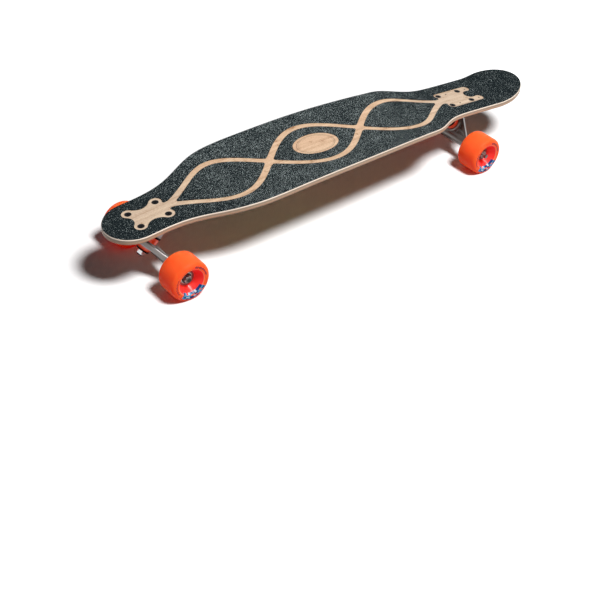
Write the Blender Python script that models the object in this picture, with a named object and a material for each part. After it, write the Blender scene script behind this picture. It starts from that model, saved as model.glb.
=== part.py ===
"""A kicktail longboard: a cambered bamboo deck with cut grip panels, two reverse kingpin trucks and
four urethane wheels on ball bearings. Metres, +Z up, nose towards +X and left rail towards +Y. The
origin is on the floor, under the middle of the board."""

import math

import bmesh
import bpy
from mathutils import Matrix, Vector

# Fits
GAP = 0.0003  # left between faces that touch on the real board
RUNNING_GAP = 0.0004  # around what turns

# Deck plan
DECK_LENGTH = 0.974
DECK_WIDTH = 0.2045
DECK_THICKNESS = 0.010
DECK_EDGE_RADIUS = 0.003
WHEELBASE = 0.722  # between the centres of the two bolt patterns
NOSE_OVERHANG = 0.083  # from the front pattern's centre to the nose tip
NOSE_NECK_WIDTH = 0.1036
NOSE_ROUND = 0.0535  # length of the half ellipse that ends the nose
NOSE_SHOULDER_LENGTH = 0.260  # from the front pattern back to the wide middle
NOSE_SHOULDER_EASE = (1.7, 3.2)  # how gently it leaves the neck and meets the middle
TAIL_NECK_WIDTH = 0.1168
TAIL_WIDTH = 0.1188
TAIL_FLARE_LENGTH = 0.100
TAIL_ROUND = 0.070
TAIL_SHOULDER_LENGTH = 0.156  # from the rear pattern forward to the wide middle
TAIL_SHOULDER_EASE = (3.1, 1.7)
TAIL_SHOULDER_WIDTH = 0.185
WIDEST_BEHIND_FRONT = 0.334

# Deck profile
PAD_ANGLE = math.radians(4.4)  # the truck pads fall away from the arched middle
PAD_HALF_LENGTH = 0.046  # flat on each side of a pattern's centre
CONCAVE_DEPTH = 0.0066  # the rails over the middle, where the deck is widest
CONCAVE_BLEND = 0.110
KICK_START = 0.070  # behind the rear pattern's centre
KICK_LENGTH = 0.035
KICK_ANGLE = math.radians(13.3)

# Grip
GRIP_THICKNESS = 0.0008
GRIP_INSET = 0.0015
BAND_WIDTH = 0.012  # bare wood between the grip panels
BAND_SHARE = 0.60  # of the deck's half width that a band swings out to
LENS_COUNT = 3
LENS_BLUNT = 0.002  # half width of a lens at its cut tips
BAND_START = 0.041  # from a pattern's centre, where the two bands part
CORNER_EASE = 0.006
NOSE_LOBE_RADIUS = 0.0115  # of the bare wood round each bolt
TAIL_LOBE_RADIUS = 0.0095
NOSE_WAIST = 0.0190  # half width of the bare wood between a side's two bolts
WINDOW_END = 0.0290  # from a pattern's centre to the grip between the outboard bolts
FORK_EASE = 0.0035  # rounding of the grip's points between a lobe and a band
MEDALLION_LENGTH_SHARE = 0.50  # of the middle panel that the bare oval in it takes up
MEDALLION_WIDTH_SHARE = 0.58

# Bolts, which are 10-32 machine screws in the 54 x 41.3 mm pattern
BOLT_SPACING_LONG = 0.053975
BOLT_SPACING_WIDE = 0.041275
BOLT_RADIUS = 0.0024
BOLT_HEAD_RADIUS = 0.0053
BOLT_HEAD_DEPTH = 0.0030
BOLT_PAST_NUT = 0.0015
BOLT_SOCKET_RADIUS = 0.0019
BOLT_SOCKET_DEPTH = 0.0018
BOLT_NUT_RADIUS = 0.0054
BOLT_NUT_HEIGHT = 0.0048
PILOT_RADIUS = 0.0013
PILOT_SHIFT = 0.0215  # of the second pattern, towards the tail

# Truck, with its own frame: X outboard, Y along the axle, Z to the deck, origin on the axle
TRUCK_HEIGHT = 0.0640  # axle to mounting face
PATTERN_AHEAD = 0.0030  # of the pattern's centre, outboard of the axle
STEER_ANGLE = math.radians(50.0)  # of the steering axis over the mounting face
RING_ALONG = 0.0228  # from the axle to the ring's centre, along the steering axis
RING_ACROSS = -0.0028  # and along the kingpin
RISER_THICKNESS = 0.0026

# Baseplate
PLATE_THICKNESS = 0.0060
PLATE_INBOARD = 0.0385  # from the pattern's centre
PLATE_OUTBOARD = 0.0470
PLATE_WIDTH = 0.0550
PLATE_CORNER = 0.0080
EXTRA_HOLE_OUTBOARD = 0.0365
BOSS_RADIUS = 0.0132
BOSS_DEPTH = 0.0095  # of the seat that holds the kingpin
POCKET_RADIUS = 0.0086  # of the arched hollow behind the seat, open at the inboard end
CHEEK_THICKNESS = 0.0050
SADDLE_HEIGHT = 0.0115  # of the cheeks at their lowest, over the mounting face
HOUSING_RADIUS = 0.0115
HOUSING_MOUTH = 0.0275  # from the ring's centre, along the steering axis

# Kingpin and what it holds, along the kingpin from the ring's middle
KINGPIN_RADIUS = 0.00476
KINGPIN_HEAD_RADIUS = 0.0078
KINGPIN_HEAD_HEIGHT = 0.0070
KINGPIN_PAST_NUT = 0.0018
KINGPIN_NUT_RADIUS = 0.0078
KINGPIN_NUT_HEIGHT = 0.0068
SEAT_DEPTH = 0.0030  # half the ring's web, where the bushings rest
BOARD_BUSHING_RADIUS = 0.0140
BOARD_BUSHING_TIP_RADIUS = 0.0125  # at the washer
BOARD_BUSHING_TAPER = 0.0030
BOARD_BUSHING_HEIGHT = 0.0137
ROAD_BUSHING_RADIUS = 0.0145
ROAD_BUSHING_TIP_RADIUS = 0.0102
ROAD_BUSHING_RIM = 0.0031
ROAD_BUSHING_HEIGHT = 0.0092
LARGE_WASHER_RADIUS = 0.0152
SMALL_WASHER_RADIUS = 0.0118
WASHER_THICKNESS = 0.0016
WASHER_RIM = 0.0012

# Hanger
HANGER_HALF_LENGTH = 0.0740
AXLE_HOUSING_RADIUS = 0.0080
AXLE_HOUSING_END_RADIUS = 0.0073
AXLE_HOUSING_TAPER = 0.0180  # length of the thinner stretch at each end
RING_RADIUS = 0.0185
RING_HALF_HEIGHT = 0.0060
RING_HOLE_RADIUS = 0.0068
WEB_HALF_THICKNESS = 0.0042
WEB_HALF_WIDTH = 0.0640  # where the web meets the axle housing
WEB_NECK_HALF_WIDTH = 0.0078  # where the web runs out in the pivot peg
WEB_END = 0.0262  # from the ring's centre
PEG_RADIUS = 0.0072
PEG_TIP_RADIUS = 0.0048
PEG_LENGTH = 0.0385  # from the ring's centre
CUP_WALL = 0.0022
CUP_FLOOR = 0.0025

# Axle and wheels
AXLE_RADIUS = 0.0040
AXLE_PAST_NUT = 0.0008
AXLE_NUT_RADIUS = 0.0073
AXLE_NUT_HEIGHT = 0.0060
SPEED_WASHER = 0.0010
SPEED_WASHER_RADIUS = 0.0060
WHEEL_RADIUS = 0.0375
WHEEL_WIDTH = 0.0480
WHEEL_OFFSET = 0.0036  # of the tyre, outboard of its bearings
WHEEL_LIP = 0.0070  # rounding of the tyre's shoulders
OUTER_CONE_RADIUS = 0.0250  # where the recess round the nut begins
INNER_CONE_RADIUS = 0.0265
CONE_EASE = 0.0016  # rounding of the recess's edge
CORE_RADIUS = 0.0145
BEARING_RADIUS = 0.0110
BEARING_WIDTH = 0.0070
SPACER_LENGTH = 0.0100
SPACER_RADIUS = 0.0052
SPACER_GAP = 0.0012  # round the spacer, in the core
INNER_RING_RADIUS = 0.0062

# Mesh fineness
WHEEL_SEGMENTS = 28
ROUND_SEGMENTS = 16
SMALL_SEGMENTS = 10
ROW_STEP = 0.0270
KICK_ROW_STEP = 0.0090
COLUMN_STEP = 0.0240
OUTLINE_STEP = 0.0200
END_STEPS = 8
ARC_STEP = math.radians(24)

# Places that follow from the sizes
NOSE_TIP_X = DECK_LENGTH / 2
TAIL_TIP_X = -DECK_LENGTH / 2
FRONT_X = NOSE_TIP_X - NOSE_OVERHANG
REAR_X = FRONT_X - WHEELBASE
MIDDLE_X = (FRONT_X + REAR_X) / 2
STACK = DECK_THICKNESS + GAP + RISER_THICKNESS + GAP + TRUCK_HEIGHT  # deck's top to axle
PAD_HEIGHT = WHEEL_RADIUS + STACK * math.cos(PAD_ANGLE) - PATTERN_AHEAD * math.sin(PAD_ANGLE)
ARCH_HALF_SPAN = WHEELBASE / 2 - PAD_HALF_LENGTH
ARCH_HEIGHT = math.tan(PAD_ANGLE) * (ARCH_HALF_SPAN / 2 + PAD_HALF_LENGTH)
STEER = Vector((math.cos(STEER_ANGLE), 0.0, math.sin(STEER_ANGLE)))  # to the pivot
KINGPIN = Vector((math.sin(STEER_ANGLE), 0.0, -math.cos(STEER_ANGLE)))  # to the nut
RING = RING_ALONG * STEER + RING_ACROSS * KINGPIN
BOSS_FACE = SEAT_DEPTH + GAP + BOARD_BUSHING_HEIGHT + GAP + WASHER_THICKNESS + GAP
BOSS_BACK = BOSS_FACE + BOSS_DEPTH
NUT_SEAT = SEAT_DEPTH + GAP + ROAD_BUSHING_HEIGHT + GAP + WASHER_THICKNESS + GAP
BEARING_INNER_Y = HANGER_HALF_LENGTH + GAP + SPEED_WASHER
BEARING_STACK = 2 * BEARING_WIDTH + SPACER_LENGTH
BEARING_OUTER_Y = BEARING_INNER_Y + BEARING_STACK
WHEEL_Y = (BEARING_INNER_Y + BEARING_OUTER_Y) / 2  # middle of a wheel's bearings
NUT_Y = BEARING_OUTER_Y + SPEED_WASHER + GAP
AXLE_HALF_LENGTH = NUT_Y + AXLE_NUT_HEIGHT + AXLE_PAST_NUT


def clear_scene():
    for obj in list(bpy.data.objects):
        bpy.data.objects.remove(obj)


def material(name, colour, roughness, metallic=0.0):
    made = bpy.data.materials.get(name)
    if made:
        return made
    made = bpy.data.materials.new(name)
    made.use_nodes = True
    shader = made.node_tree.nodes["Principled BSDF"]
    shader.inputs["Base Color"].default_value = (*colour, 1.0)
    shader.inputs["Roughness"].default_value = roughness
    shader.inputs["Metallic"].default_value = metallic
    return made


def bamboo():
    return material("bamboo", (0.72, 0.47, 0.26), 0.35)


def grip():
    return material("grip", (0.022, 0.032, 0.036), 0.95)


def cast_aluminium():
    return material("cast_aluminium", (0.62, 0.62, 0.62), 0.30, 1.0)


def grey_aluminium():
    return material("grey_aluminium", (0.30, 0.31, 0.32), 0.38, 1.0)


def steel():
    return material("steel", (0.66, 0.67, 0.69), 0.22, 1.0)


def zinc():
    return material("zinc", (0.74, 0.77, 0.80), 0.20, 1.0)


def black_steel():
    return material("black_steel", (0.020, 0.020, 0.022), 0.40, 0.7)


def rubber():
    return material("rubber", (0.020, 0.018, 0.016), 0.70)


def orange_urethane():
    return material("orange_urethane", (0.95, 0.10, 0.025), 0.32)


def core_plastic():
    return material("core_plastic", (0.80, 0.06, 0.02), 0.40)


def bushing_urethane():
    return material("bushing_urethane", (0.92, 0.14, 0.03), 0.35)


def pivot_plastic():
    return material("pivot_plastic", (0.03, 0.03, 0.03), 0.55)


def bearing_shield():
    return material("bearing_shield", (0.10, 0.10, 0.11), 0.35, 0.8)


def smooth(share):
    """Eases from 0 to 1 with level ends."""
    share = min(max(share, 0.0), 1.0)
    return share * share * (3.0 - 2.0 * share)


def ease(share, power_in, power_out):
    """Eases from 0 to 1, leaving and arriving as gently as the powers say."""
    share = min(max(share, 0.0), 1.0)
    risen = share**power_in
    return risen / (risen + (1.0 - share) ** power_out)


def half_width(x):
    """Half the deck's width at x."""
    widest = FRONT_X - WIDEST_BEHIND_FRONT
    off_widest = (widest - x) / (widest - REAR_X - TAIL_SHOULDER_LENGTH)
    swell = math.cos(math.pi / 2 * min(max(off_widest, 0.0), 1.0))
    middle = TAIL_SHOULDER_WIDTH + (DECK_WIDTH - TAIL_SHOULDER_WIDTH) * swell
    flare = smooth((REAR_X - x) / TAIL_FLARE_LENGTH)
    tail = TAIL_NECK_WIDTH + (TAIL_WIDTH - TAIL_NECK_WIDTH) * flare
    width = tail + (middle - tail) * ease((x - REAR_X) / TAIL_SHOULDER_LENGTH, *TAIL_SHOULDER_EASE)
    nose_shoulder = ease((FRONT_X - x) / NOSE_SHOULDER_LENGTH, *NOSE_SHOULDER_EASE)
    width = NOSE_NECK_WIDTH + (width - NOSE_NECK_WIDTH) * nose_shoulder
    past_nose = max(0.0, (x - NOSE_TIP_X + NOSE_ROUND) / NOSE_ROUND)
    past_tail = max(0.0, (TAIL_TIP_X + TAIL_ROUND - x) / TAIL_ROUND)
    past = min(max(past_nose, past_tail), 1.0)
    return width / 2 * math.sqrt(1.0 - past * past)


def spine(x):
    """Height of the deck's top on its centre line: an arch, straight pads and the kick."""
    slope = math.tan(PAD_ANGLE)
    off_middle = abs(x - MIDDLE_X)
    middle_height = PAD_HEIGHT + ARCH_HEIGHT
    if off_middle <= ARCH_HALF_SPAN:
        return middle_height - slope * off_middle**2 / (2 * ARCH_HALF_SPAN)
    height = PAD_HEIGHT - slope * (off_middle - WHEELBASE / 2)
    into_kick = REAR_X - KICK_START - x
    if into_kick > 0.0:
        turn = math.tan(KICK_ANGLE)
        bent = min(into_kick, KICK_LENGTH)
        height += turn * bent**2 / (2 * KICK_LENGTH) + turn * (into_kick - bent)
    return height


def surface(x, y):
    """Height of the deck's top: the spine, with the rails raised between the pads."""
    inside = ARCH_HALF_SPAN - abs(x - MIDDLE_X)
    concave = CONCAVE_DEPTH * smooth(inside / CONCAVE_BLEND)
    return spine(x) + concave * (2 * y / DECK_WIDTH) ** 2


def steps(start, stop, longest):
    """Evenly spaced values from start to stop, both included."""
    count = max(1, math.ceil(abs(stop - start) / longest - 1e-9))
    return [start + (stop - start) * i / count for i in range(count + 1)]


def half_outline(inset):
    """Points of the left rail from the tail tip to the nose tip, drawn in by the inset."""
    tail_centre = TAIL_TIP_X + TAIL_ROUND
    nose_centre = NOSE_TIP_X - NOSE_ROUND
    angles = [math.pi / 2 * i / END_STEPS for i in range(END_STEPS)]
    xs = [tail_centre - TAIL_ROUND * math.cos(angle) for angle in angles]
    xs += steps(tail_centre, nose_centre, OUTLINE_STEP)
    xs += [nose_centre + NOSE_ROUND * math.cos(angle) for angle in reversed(angles)]
    points = [(x, half_width(x)) for x in xs]
    moved = []
    for i, (x, y) in enumerate(points):
        before = points[max(i - 1, 0)]
        after = points[min(i + 1, len(points) - 1)]
        along = Vector((after[0] - before[0], after[1] - before[1]))
        if i in (0, len(points) - 1):
            along = Vector((0.0, 1.0 if i == 0 else -1.0))
        along.normalize()
        moved.append((x + along.y * inset, y - along.x * inset))
    return moved


def band_middle(x):
    """How far a band of bare wood is from the centre line, signed, and how steeply it moves off."""
    start, length = lens_start(0), lens_start(1) - lens_start(0)
    phase = math.pi * (x - start) / length
    swing = BAND_SHARE * half_width(x)
    return swing * math.sin(phase), swing * math.cos(phase) * math.pi / length


def lens_start(index):
    """Where the bands cross for the index-th time, from the tail forward."""
    rear, front = REAR_X + BAND_START, FRONT_X - BAND_START
    return rear + (front - rear) * index / LENS_COUNT


def band_edge(x, side):
    """Distance from the centre line of a band's outer (side 1) or inner (side -1) edge."""
    middle, slope = band_middle(x)
    off = BAND_WIDTH / 2 * math.hypot(1.0, slope)
    return math.hypot(middle, CORNER_EASE / 2) + off if side > 0 else abs(middle) - off


def arc(centre, radius, start, stop):
    """Points on a circle from one angle to another, both included."""
    angles = steps(start, stop, ARC_STEP)
    return [(centre[0] + radius * math.cos(a), centre[1] + radius * math.sin(a)) for a in angles]


def joining_radius(half_spacing, offset, radius):
    """Radius of the arc that joins two equal circles, its middle this far off their centres' line."""
    return (half_spacing**2 + offset**2 - radius**2) / (2 * (radius - offset))


def window_outline(front):
    """Left edge of the bare wood round the bolts, as (outboard, across) from the pattern's centre."""
    lobe = NOSE_LOBE_RADIUS if front else TAIL_LOBE_RADIUS
    along, across = BOLT_SPACING_LONG / 2, BOLT_SPACING_WIDE / 2
    reach = along if front else along + PILOT_SHIFT
    notch = joining_radius(across, WINDOW_END - reach, lobe)
    turn = math.atan2(across, reach - WINDOW_END - notch)
    points = arc((WINDOW_END + notch, 0.0), notch, math.pi, turn)
    waist = joining_radius(along, NOSE_WAIST - across, lobe)
    lean = math.atan2(NOSE_WAIST + waist - across, along) if front else math.pi / 2
    points += arc((reach, across), lobe, turn - math.pi, math.pi - lean)[1:]
    if front:
        points += arc((0.0, NOSE_WAIST + waist), waist, -lean, lean - math.pi)[1:-1]
    fork = -along - lobe
    for _ in range(8):
        level = band_edge(FRONT_X + fork if front else REAR_X - fork, 1) + FORK_EASE
        rise = across - level
        fork = -along - math.sqrt((lobe + FORK_EASE) ** 2 - rise**2)
    fork_turn = math.atan2(rise, -along - fork)
    points += arc((-along, across), lobe, lean, math.pi + fork_turn)
    return points + arc((fork, level), FORK_EASE, fork_turn, -math.pi / 2)[1:]


def new_object(name, mesh, made_of, parent=None, matrix=None):
    obj = bpy.data.objects.new(name, mesh)
    bpy.context.scene.collection.objects.link(obj)
    if made_of:
        mesh.materials.append(made_of)
        mesh.shade_smooth()
        mesh.set_sharp_from_angle(angle=math.radians(32))
    if matrix is not None:
        obj.matrix_local = matrix
    obj.parent = parent
    return obj


def mesh_of(name, bm):
    bmesh.ops.recalc_face_normals(bm, faces=bm.faces)
    mesh = bpy.data.meshes.new(name)
    bm.to_mesh(mesh)
    bm.free()
    return mesh


def helper(name, mesh, parent=None, matrix=None):
    """A cutter or a piece to be joined on, which is no node of its own."""
    obj = new_object(name, mesh, None, parent, matrix)
    obj.hide_render = True
    obj.display_type = "WIRE"
    return obj


def boolean(obj, other, operation):
    modifier = obj.modifiers.new(other.name, "BOOLEAN")
    modifier.operation = operation
    modifier.object = other


def empty(name, matrix, parent=None):
    obj = bpy.data.objects.new(name, None)
    bpy.context.scene.collection.objects.link(obj)
    obj.matrix_local = matrix
    obj.parent = parent
    return obj


def frame(origin, z_axis, x_hint=(0.0, 1.0, 0.0)):
    """A matrix with its Z on z_axis and its X near x_hint."""
    z_axis = Vector(z_axis).normalized()
    y_axis = z_axis.cross(Vector(x_hint)).normalized()
    x_axis = y_axis.cross(z_axis)
    rotation = Matrix((x_axis, y_axis, z_axis)).transposed()
    return Matrix.Translation(origin) @ rotation.to_4x4()


def add_turned(bm, profile, segments, closed, matrix=None):
    """Turns (radius, height) points about Z. An open profile starts and ends on the axis."""
    verts = [bm.verts.new((radius, 0.0, height)) for radius, height in profile]
    pairs = list(zip(verts, verts[1:] + verts[:1] if closed else verts[1:]))
    edges = [bm.edges.new(pair) for pair in pairs]
    turned = bmesh.ops.spin(
        bm,
        geom=verts + edges,
        cent=(0.0, 0.0, 0.0),
        axis=(0.0, 0.0, 1.0),
        angle=2 * math.pi,
        steps=segments,
        use_merge=True,
    )
    made = set(verts) | {v for v in turned["geom_last"] if isinstance(v, bmesh.types.BMVert)}
    made |= {v for edge in edges for face in edge.link_faces for v in face.verts}
    grown = True
    while grown:
        more = {v for vert in made for edge in vert.link_edges for v in edge.verts} - made
        made |= more
        grown = bool(more)
    if matrix is not None:
        bmesh.ops.transform(bm, matrix=matrix, verts=list(made))
    bmesh.ops.remove_doubles(bm, verts=list(made), dist=1e-7)


def turned(name, profile, segments, closed=True):
    """A mesh turned about Z. A closed profile keeps off the axis."""
    bm = bmesh.new()
    add_turned(bm, profile, segments, closed)
    return mesh_of(name, bm)


def disc_profile(radius, bottom, top):
    return [(0.0, bottom), (radius, bottom), (radius, top), (0.0, top)]


def cylinder(name, radius, bottom, top, segments):
    return turned(name, disc_profile(radius, bottom, top), segments, closed=False)


def add_prism(bm, points, bottom, top):
    """Extrudes a flat outline of (x, y) points."""
    face = bm.faces.new([bm.verts.new((x, y, bottom)) for x, y in points])
    moved = bmesh.ops.extrude_face_region(bm, geom=[face])["geom"]
    verts = [item for item in moved if isinstance(item, bmesh.types.BMVert)]
    bmesh.ops.translate(bm, verts=verts, vec=(0.0, 0.0, top - bottom))


def prism(name, points, bottom, top):
    bm = bmesh.new()
    add_prism(bm, points, bottom, top)
    return mesh_of(name, bm)


def hexagon(radius):
    """Corners of a hexagon with this corner radius."""
    return [(radius * math.cos(math.pi / 3 * i), radius * math.sin(math.pi / 3 * i)) for i in range(6)]


def rounded_rectangle(x_start, x_stop, width, corner, per_corner=4):
    points = []
    centres = ((x_stop - corner, 1), (x_start + corner, 1), (x_start + corner, -1), (x_stop - corner, -1))
    for quarter, (x, side) in enumerate(centres):
        for i in range(per_corner + 1):
            angle = math.pi / 2 * (quarter + i / per_corner)
            y = side * (width / 2 - corner)
            points.append((x + corner * math.cos(angle), y + corner * math.sin(angle)))
    return points


def bent_sheet(name, points, bottom, top, edge_radius=0.0, open_on_centre=False):
    """A flat outline extruded, cut into rows and columns and laid along the deck's top."""
    bm = bmesh.new()
    add_prism(bm, points, bottom, top)
    bmesh.ops.recalc_face_normals(bm, faces=bm.faces)
    if edge_radius:
        rims = [edge for edge in bm.edges if abs(edge.verts[0].co.z - edge.verts[1].co.z) < 1e-6]
        bmesh.ops.bevel(bm, geom=rims, offset=edge_radius, segments=1, profile=0.5, affect="EDGES")
    kick_end = REAR_X - KICK_START - KICK_LENGTH
    rows = steps(TAIL_TIP_X, kick_end, ROW_STEP)[1:-1]
    rows += steps(kick_end, REAR_X - KICK_START, KICK_ROW_STEP)[:-1]
    rows.append(REAR_X - KICK_START)
    rows += steps(REAR_X + PAD_HALF_LENGTH, FRONT_X - PAD_HALF_LENGTH, ROW_STEP)
    for x in rows:
        everything = bm.verts[:] + bm.edges[:] + bm.faces[:]
        bmesh.ops.bisect_plane(bm, geom=everything, dist=1e-6, plane_co=(x, 0, 0), plane_no=(1, 0, 0))
    columns = math.floor(DECK_WIDTH / 2 / COLUMN_STEP)
    for y in [COLUMN_STEP * i for i in range(-columns, columns + 1)]:
        everything = bm.verts[:] + bm.edges[:] + bm.faces[:]
        bmesh.ops.bisect_plane(bm, geom=everything, dist=1e-6, plane_co=(0, y, 0), plane_no=(0, 1, 0))
    if open_on_centre:
        walls = [face for face in bm.faces if all(abs(vert.co.y) < 1e-6 for vert in face.verts)]
        bmesh.ops.delete(bm, geom=walls, context="FACES")
    for vert in bm.verts:
        vert.co.z += surface(vert.co.x, vert.co.y)
    return mesh_of(name, bm)


def pattern_places(spacing_long=BOLT_SPACING_LONG):
    """Bolt places about a pattern's centre."""
    return [(sx * spacing_long / 2, sy * BOLT_SPACING_WIDE / 2) for sx in (-1, 1) for sy in (-1, 1)]


def pad_matrix(front):
    """The frame of a truck pad: origin on the deck's top at the pattern's centre, X outboard."""
    x = FRONT_X if front else REAR_X
    turn = Matrix.Identity(4) if front else Matrix.Rotation(math.pi, 4, "Z")
    return Matrix.Translation((x, 0.0, PAD_HEIGHT)) @ turn @ Matrix.Rotation(PAD_ANGLE, 4, "Y")


def truck_matrix(front):
    """The frame of a truck, with its origin on the axle."""
    return pad_matrix(front) @ Matrix.Translation((-PATTERN_AHEAD, 0.0, -STACK))


def bolt_hole_profile(depth):
    """A countersunk hole from above the deck's top down through a stack."""
    hole = BOLT_RADIUS + GAP
    head = BOLT_HEAD_RADIUS + GAP
    above = DECK_THICKNESS / 4
    sunk = -BOLT_HEAD_DEPTH - GAP
    return [(0.0, -depth), (hole, -depth), (hole, sunk), (head, 0.0), (head, above), (0.0, above)]


def make_deck():
    left = half_outline(0.0)
    outline = left + [(x, -y) for x, y in reversed(left[1:-1])]
    mesh = bent_sheet("deck", outline, -DECK_THICKNESS, 0.0, DECK_EDGE_RADIUS)
    deck = new_object("deck", mesh, bamboo())
    bm = bmesh.new()
    for front in (True, False):
        for x, y in pattern_places():
            place = pad_matrix(front) @ Matrix.Translation((x, y, 0.0))
            add_turned(bm, bolt_hole_profile(2 * DECK_THICKNESS), SMALL_SEGMENTS, False, place)
    pilot = disc_profile(PILOT_RADIUS, -2 * DECK_THICKNESS, DECK_THICKNESS)
    for x, y in pattern_places():
        place = pad_matrix(False) @ Matrix.Translation((x + PILOT_SHIFT, y, 0.0))
        add_turned(bm, pilot, 8, False, place)
    boolean(deck, helper("deck_holes", mesh_of("deck_holes", bm)), "DIFFERENCE")


def make_grip_sheet(name, half):
    """A grip sheet from the outline of its left half, which starts and ends on the centre line."""
    mesh = bent_sheet(name, half, GAP, GAP + GRIP_THICKNESS, open_on_centre=True)
    sheet = new_object(name, mesh, grip())
    mirror = sheet.modifiers.new("other_side", "MIRROR")
    mirror.use_axis = (False, True, False)
    mirror.merge_threshold = 1e-5


def make_grip_outer():
    nose = [(FRONT_X + u, v) for u, v in window_outline(True)]
    tail = [(REAR_X - u, v) for u, v in window_outline(False)]
    nose[0] = (nose[0][0], 0.0)
    tail[0] = (tail[0][0], 0.0)
    bands = [(x, band_edge(x, 1)) for x in steps(nose[-1][0], tail[-1][0], OUTLINE_STEP)[1:-1]]
    make_grip_sheet("grip_outer", half_outline(GRIP_INSET) + nose + bands + tail[::-1])


def lens_ends(index):
    """Where a lens panel's cut tips are, found by halving from its middle."""
    start, stop = lens_start(index), lens_start(index + 1)
    middle = (start + stop) / 2
    ends = []
    for outside in (start, stop):
        inside = middle
        for _ in range(30):
            half_way = (inside + outside) / 2
            wide = band_edge(half_way, -1) > LENS_BLUNT
            inside, outside = (half_way, outside) if wide else (inside, half_way)
        ends.append(inside)
    return ends


def make_grip_lenses():
    names = ("grip_rear_panel", "grip_middle_panel", "grip_front_panel")
    for index in range(LENS_COUNT):
        xs = steps(*lens_ends(index), OUTLINE_STEP)
        half = [(xs[0], 0.0)] + [(x, band_edge(x, -1)) for x in xs] + [(xs[-1], 0.0)]
        if index == LENS_COUNT // 2:
            middle = (xs[0] + xs[-1]) / 2
            length = MEDALLION_LENGTH_SHARE * (xs[-1] - xs[0]) / 2
            width = MEDALLION_WIDTH_SHARE * band_edge(middle, -1)
            oval = arc((0.0, 0.0), 1.0, 0.0, math.pi)
            half += [(middle + length * u, width * v) for u, v in oval[:-1]] + [(middle - length, 0.0)]
        make_grip_sheet(names[index] if index < len(names) else f"grip_panel_{index + 1}", half)


def hole_cutter(name, places, radius, parent, low, high):
    """Cylinders along Z at (x, y) places, as one cutter."""
    bm = bmesh.new()
    for x, y in places:
        place = Matrix.Translation((x, y, 0.0))
        add_turned(bm, disc_profile(radius, low, high), SMALL_SEGMENTS, False, place)
    return helper(name, mesh_of(name, bm), parent)


def make_riser(truck, name):
    bottom = TRUCK_HEIGHT + GAP
    x_start = PATTERN_AHEAD - PLATE_INBOARD
    x_stop = PATTERN_AHEAD + PLATE_OUTBOARD
    outline = rounded_rectangle(x_start, x_stop, PLATE_WIDTH, PLATE_CORNER)
    mesh = prism(f"{name}_riser", outline, bottom, bottom + RISER_THICKNESS)
    riser = new_object(f"{name}_riser_pad", mesh, rubber(), truck)
    places = [(x + PATTERN_AHEAD, y) for x, y in pattern_places()]
    radius = BOLT_RADIUS + GAP
    cutter = hole_cutter(f"{name}_riser_holes", places, radius, truck, TRUCK_HEIGHT / 2, 2 * TRUCK_HEIGHT)
    boolean(riser, cutter, "DIFFERENCE")


def cheek_outline():
    """Side view (x, z) of the two cheeks, which run from the boss down to a saddle and up to the housing."""
    face = RING - BOSS_FACE * KINGPIN
    mouth = RING + HOUSING_MOUTH * STEER - HOUSING_RADIUS * KINGPIN
    low = face - BOSS_RADIUS * STEER / 2
    high = face + BOSS_RADIUS * STEER
    saddle = ((high.x + mouth.x) / 2, TRUCK_HEIGHT - SADDLE_HEIGHT)
    plate = TRUCK_HEIGHT - PLATE_THICKNESS / 2
    foot = PATTERN_AHEAD + BOLT_SPACING_LONG / 2
    back = low - BOSS_DEPTH * KINGPIN
    corners = [(low.x, low.z), (high.x, high.z), saddle, (mouth.x, mouth.z), (foot, plate)]
    return corners + [(back.x, plate), (back.x, back.z)]


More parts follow.
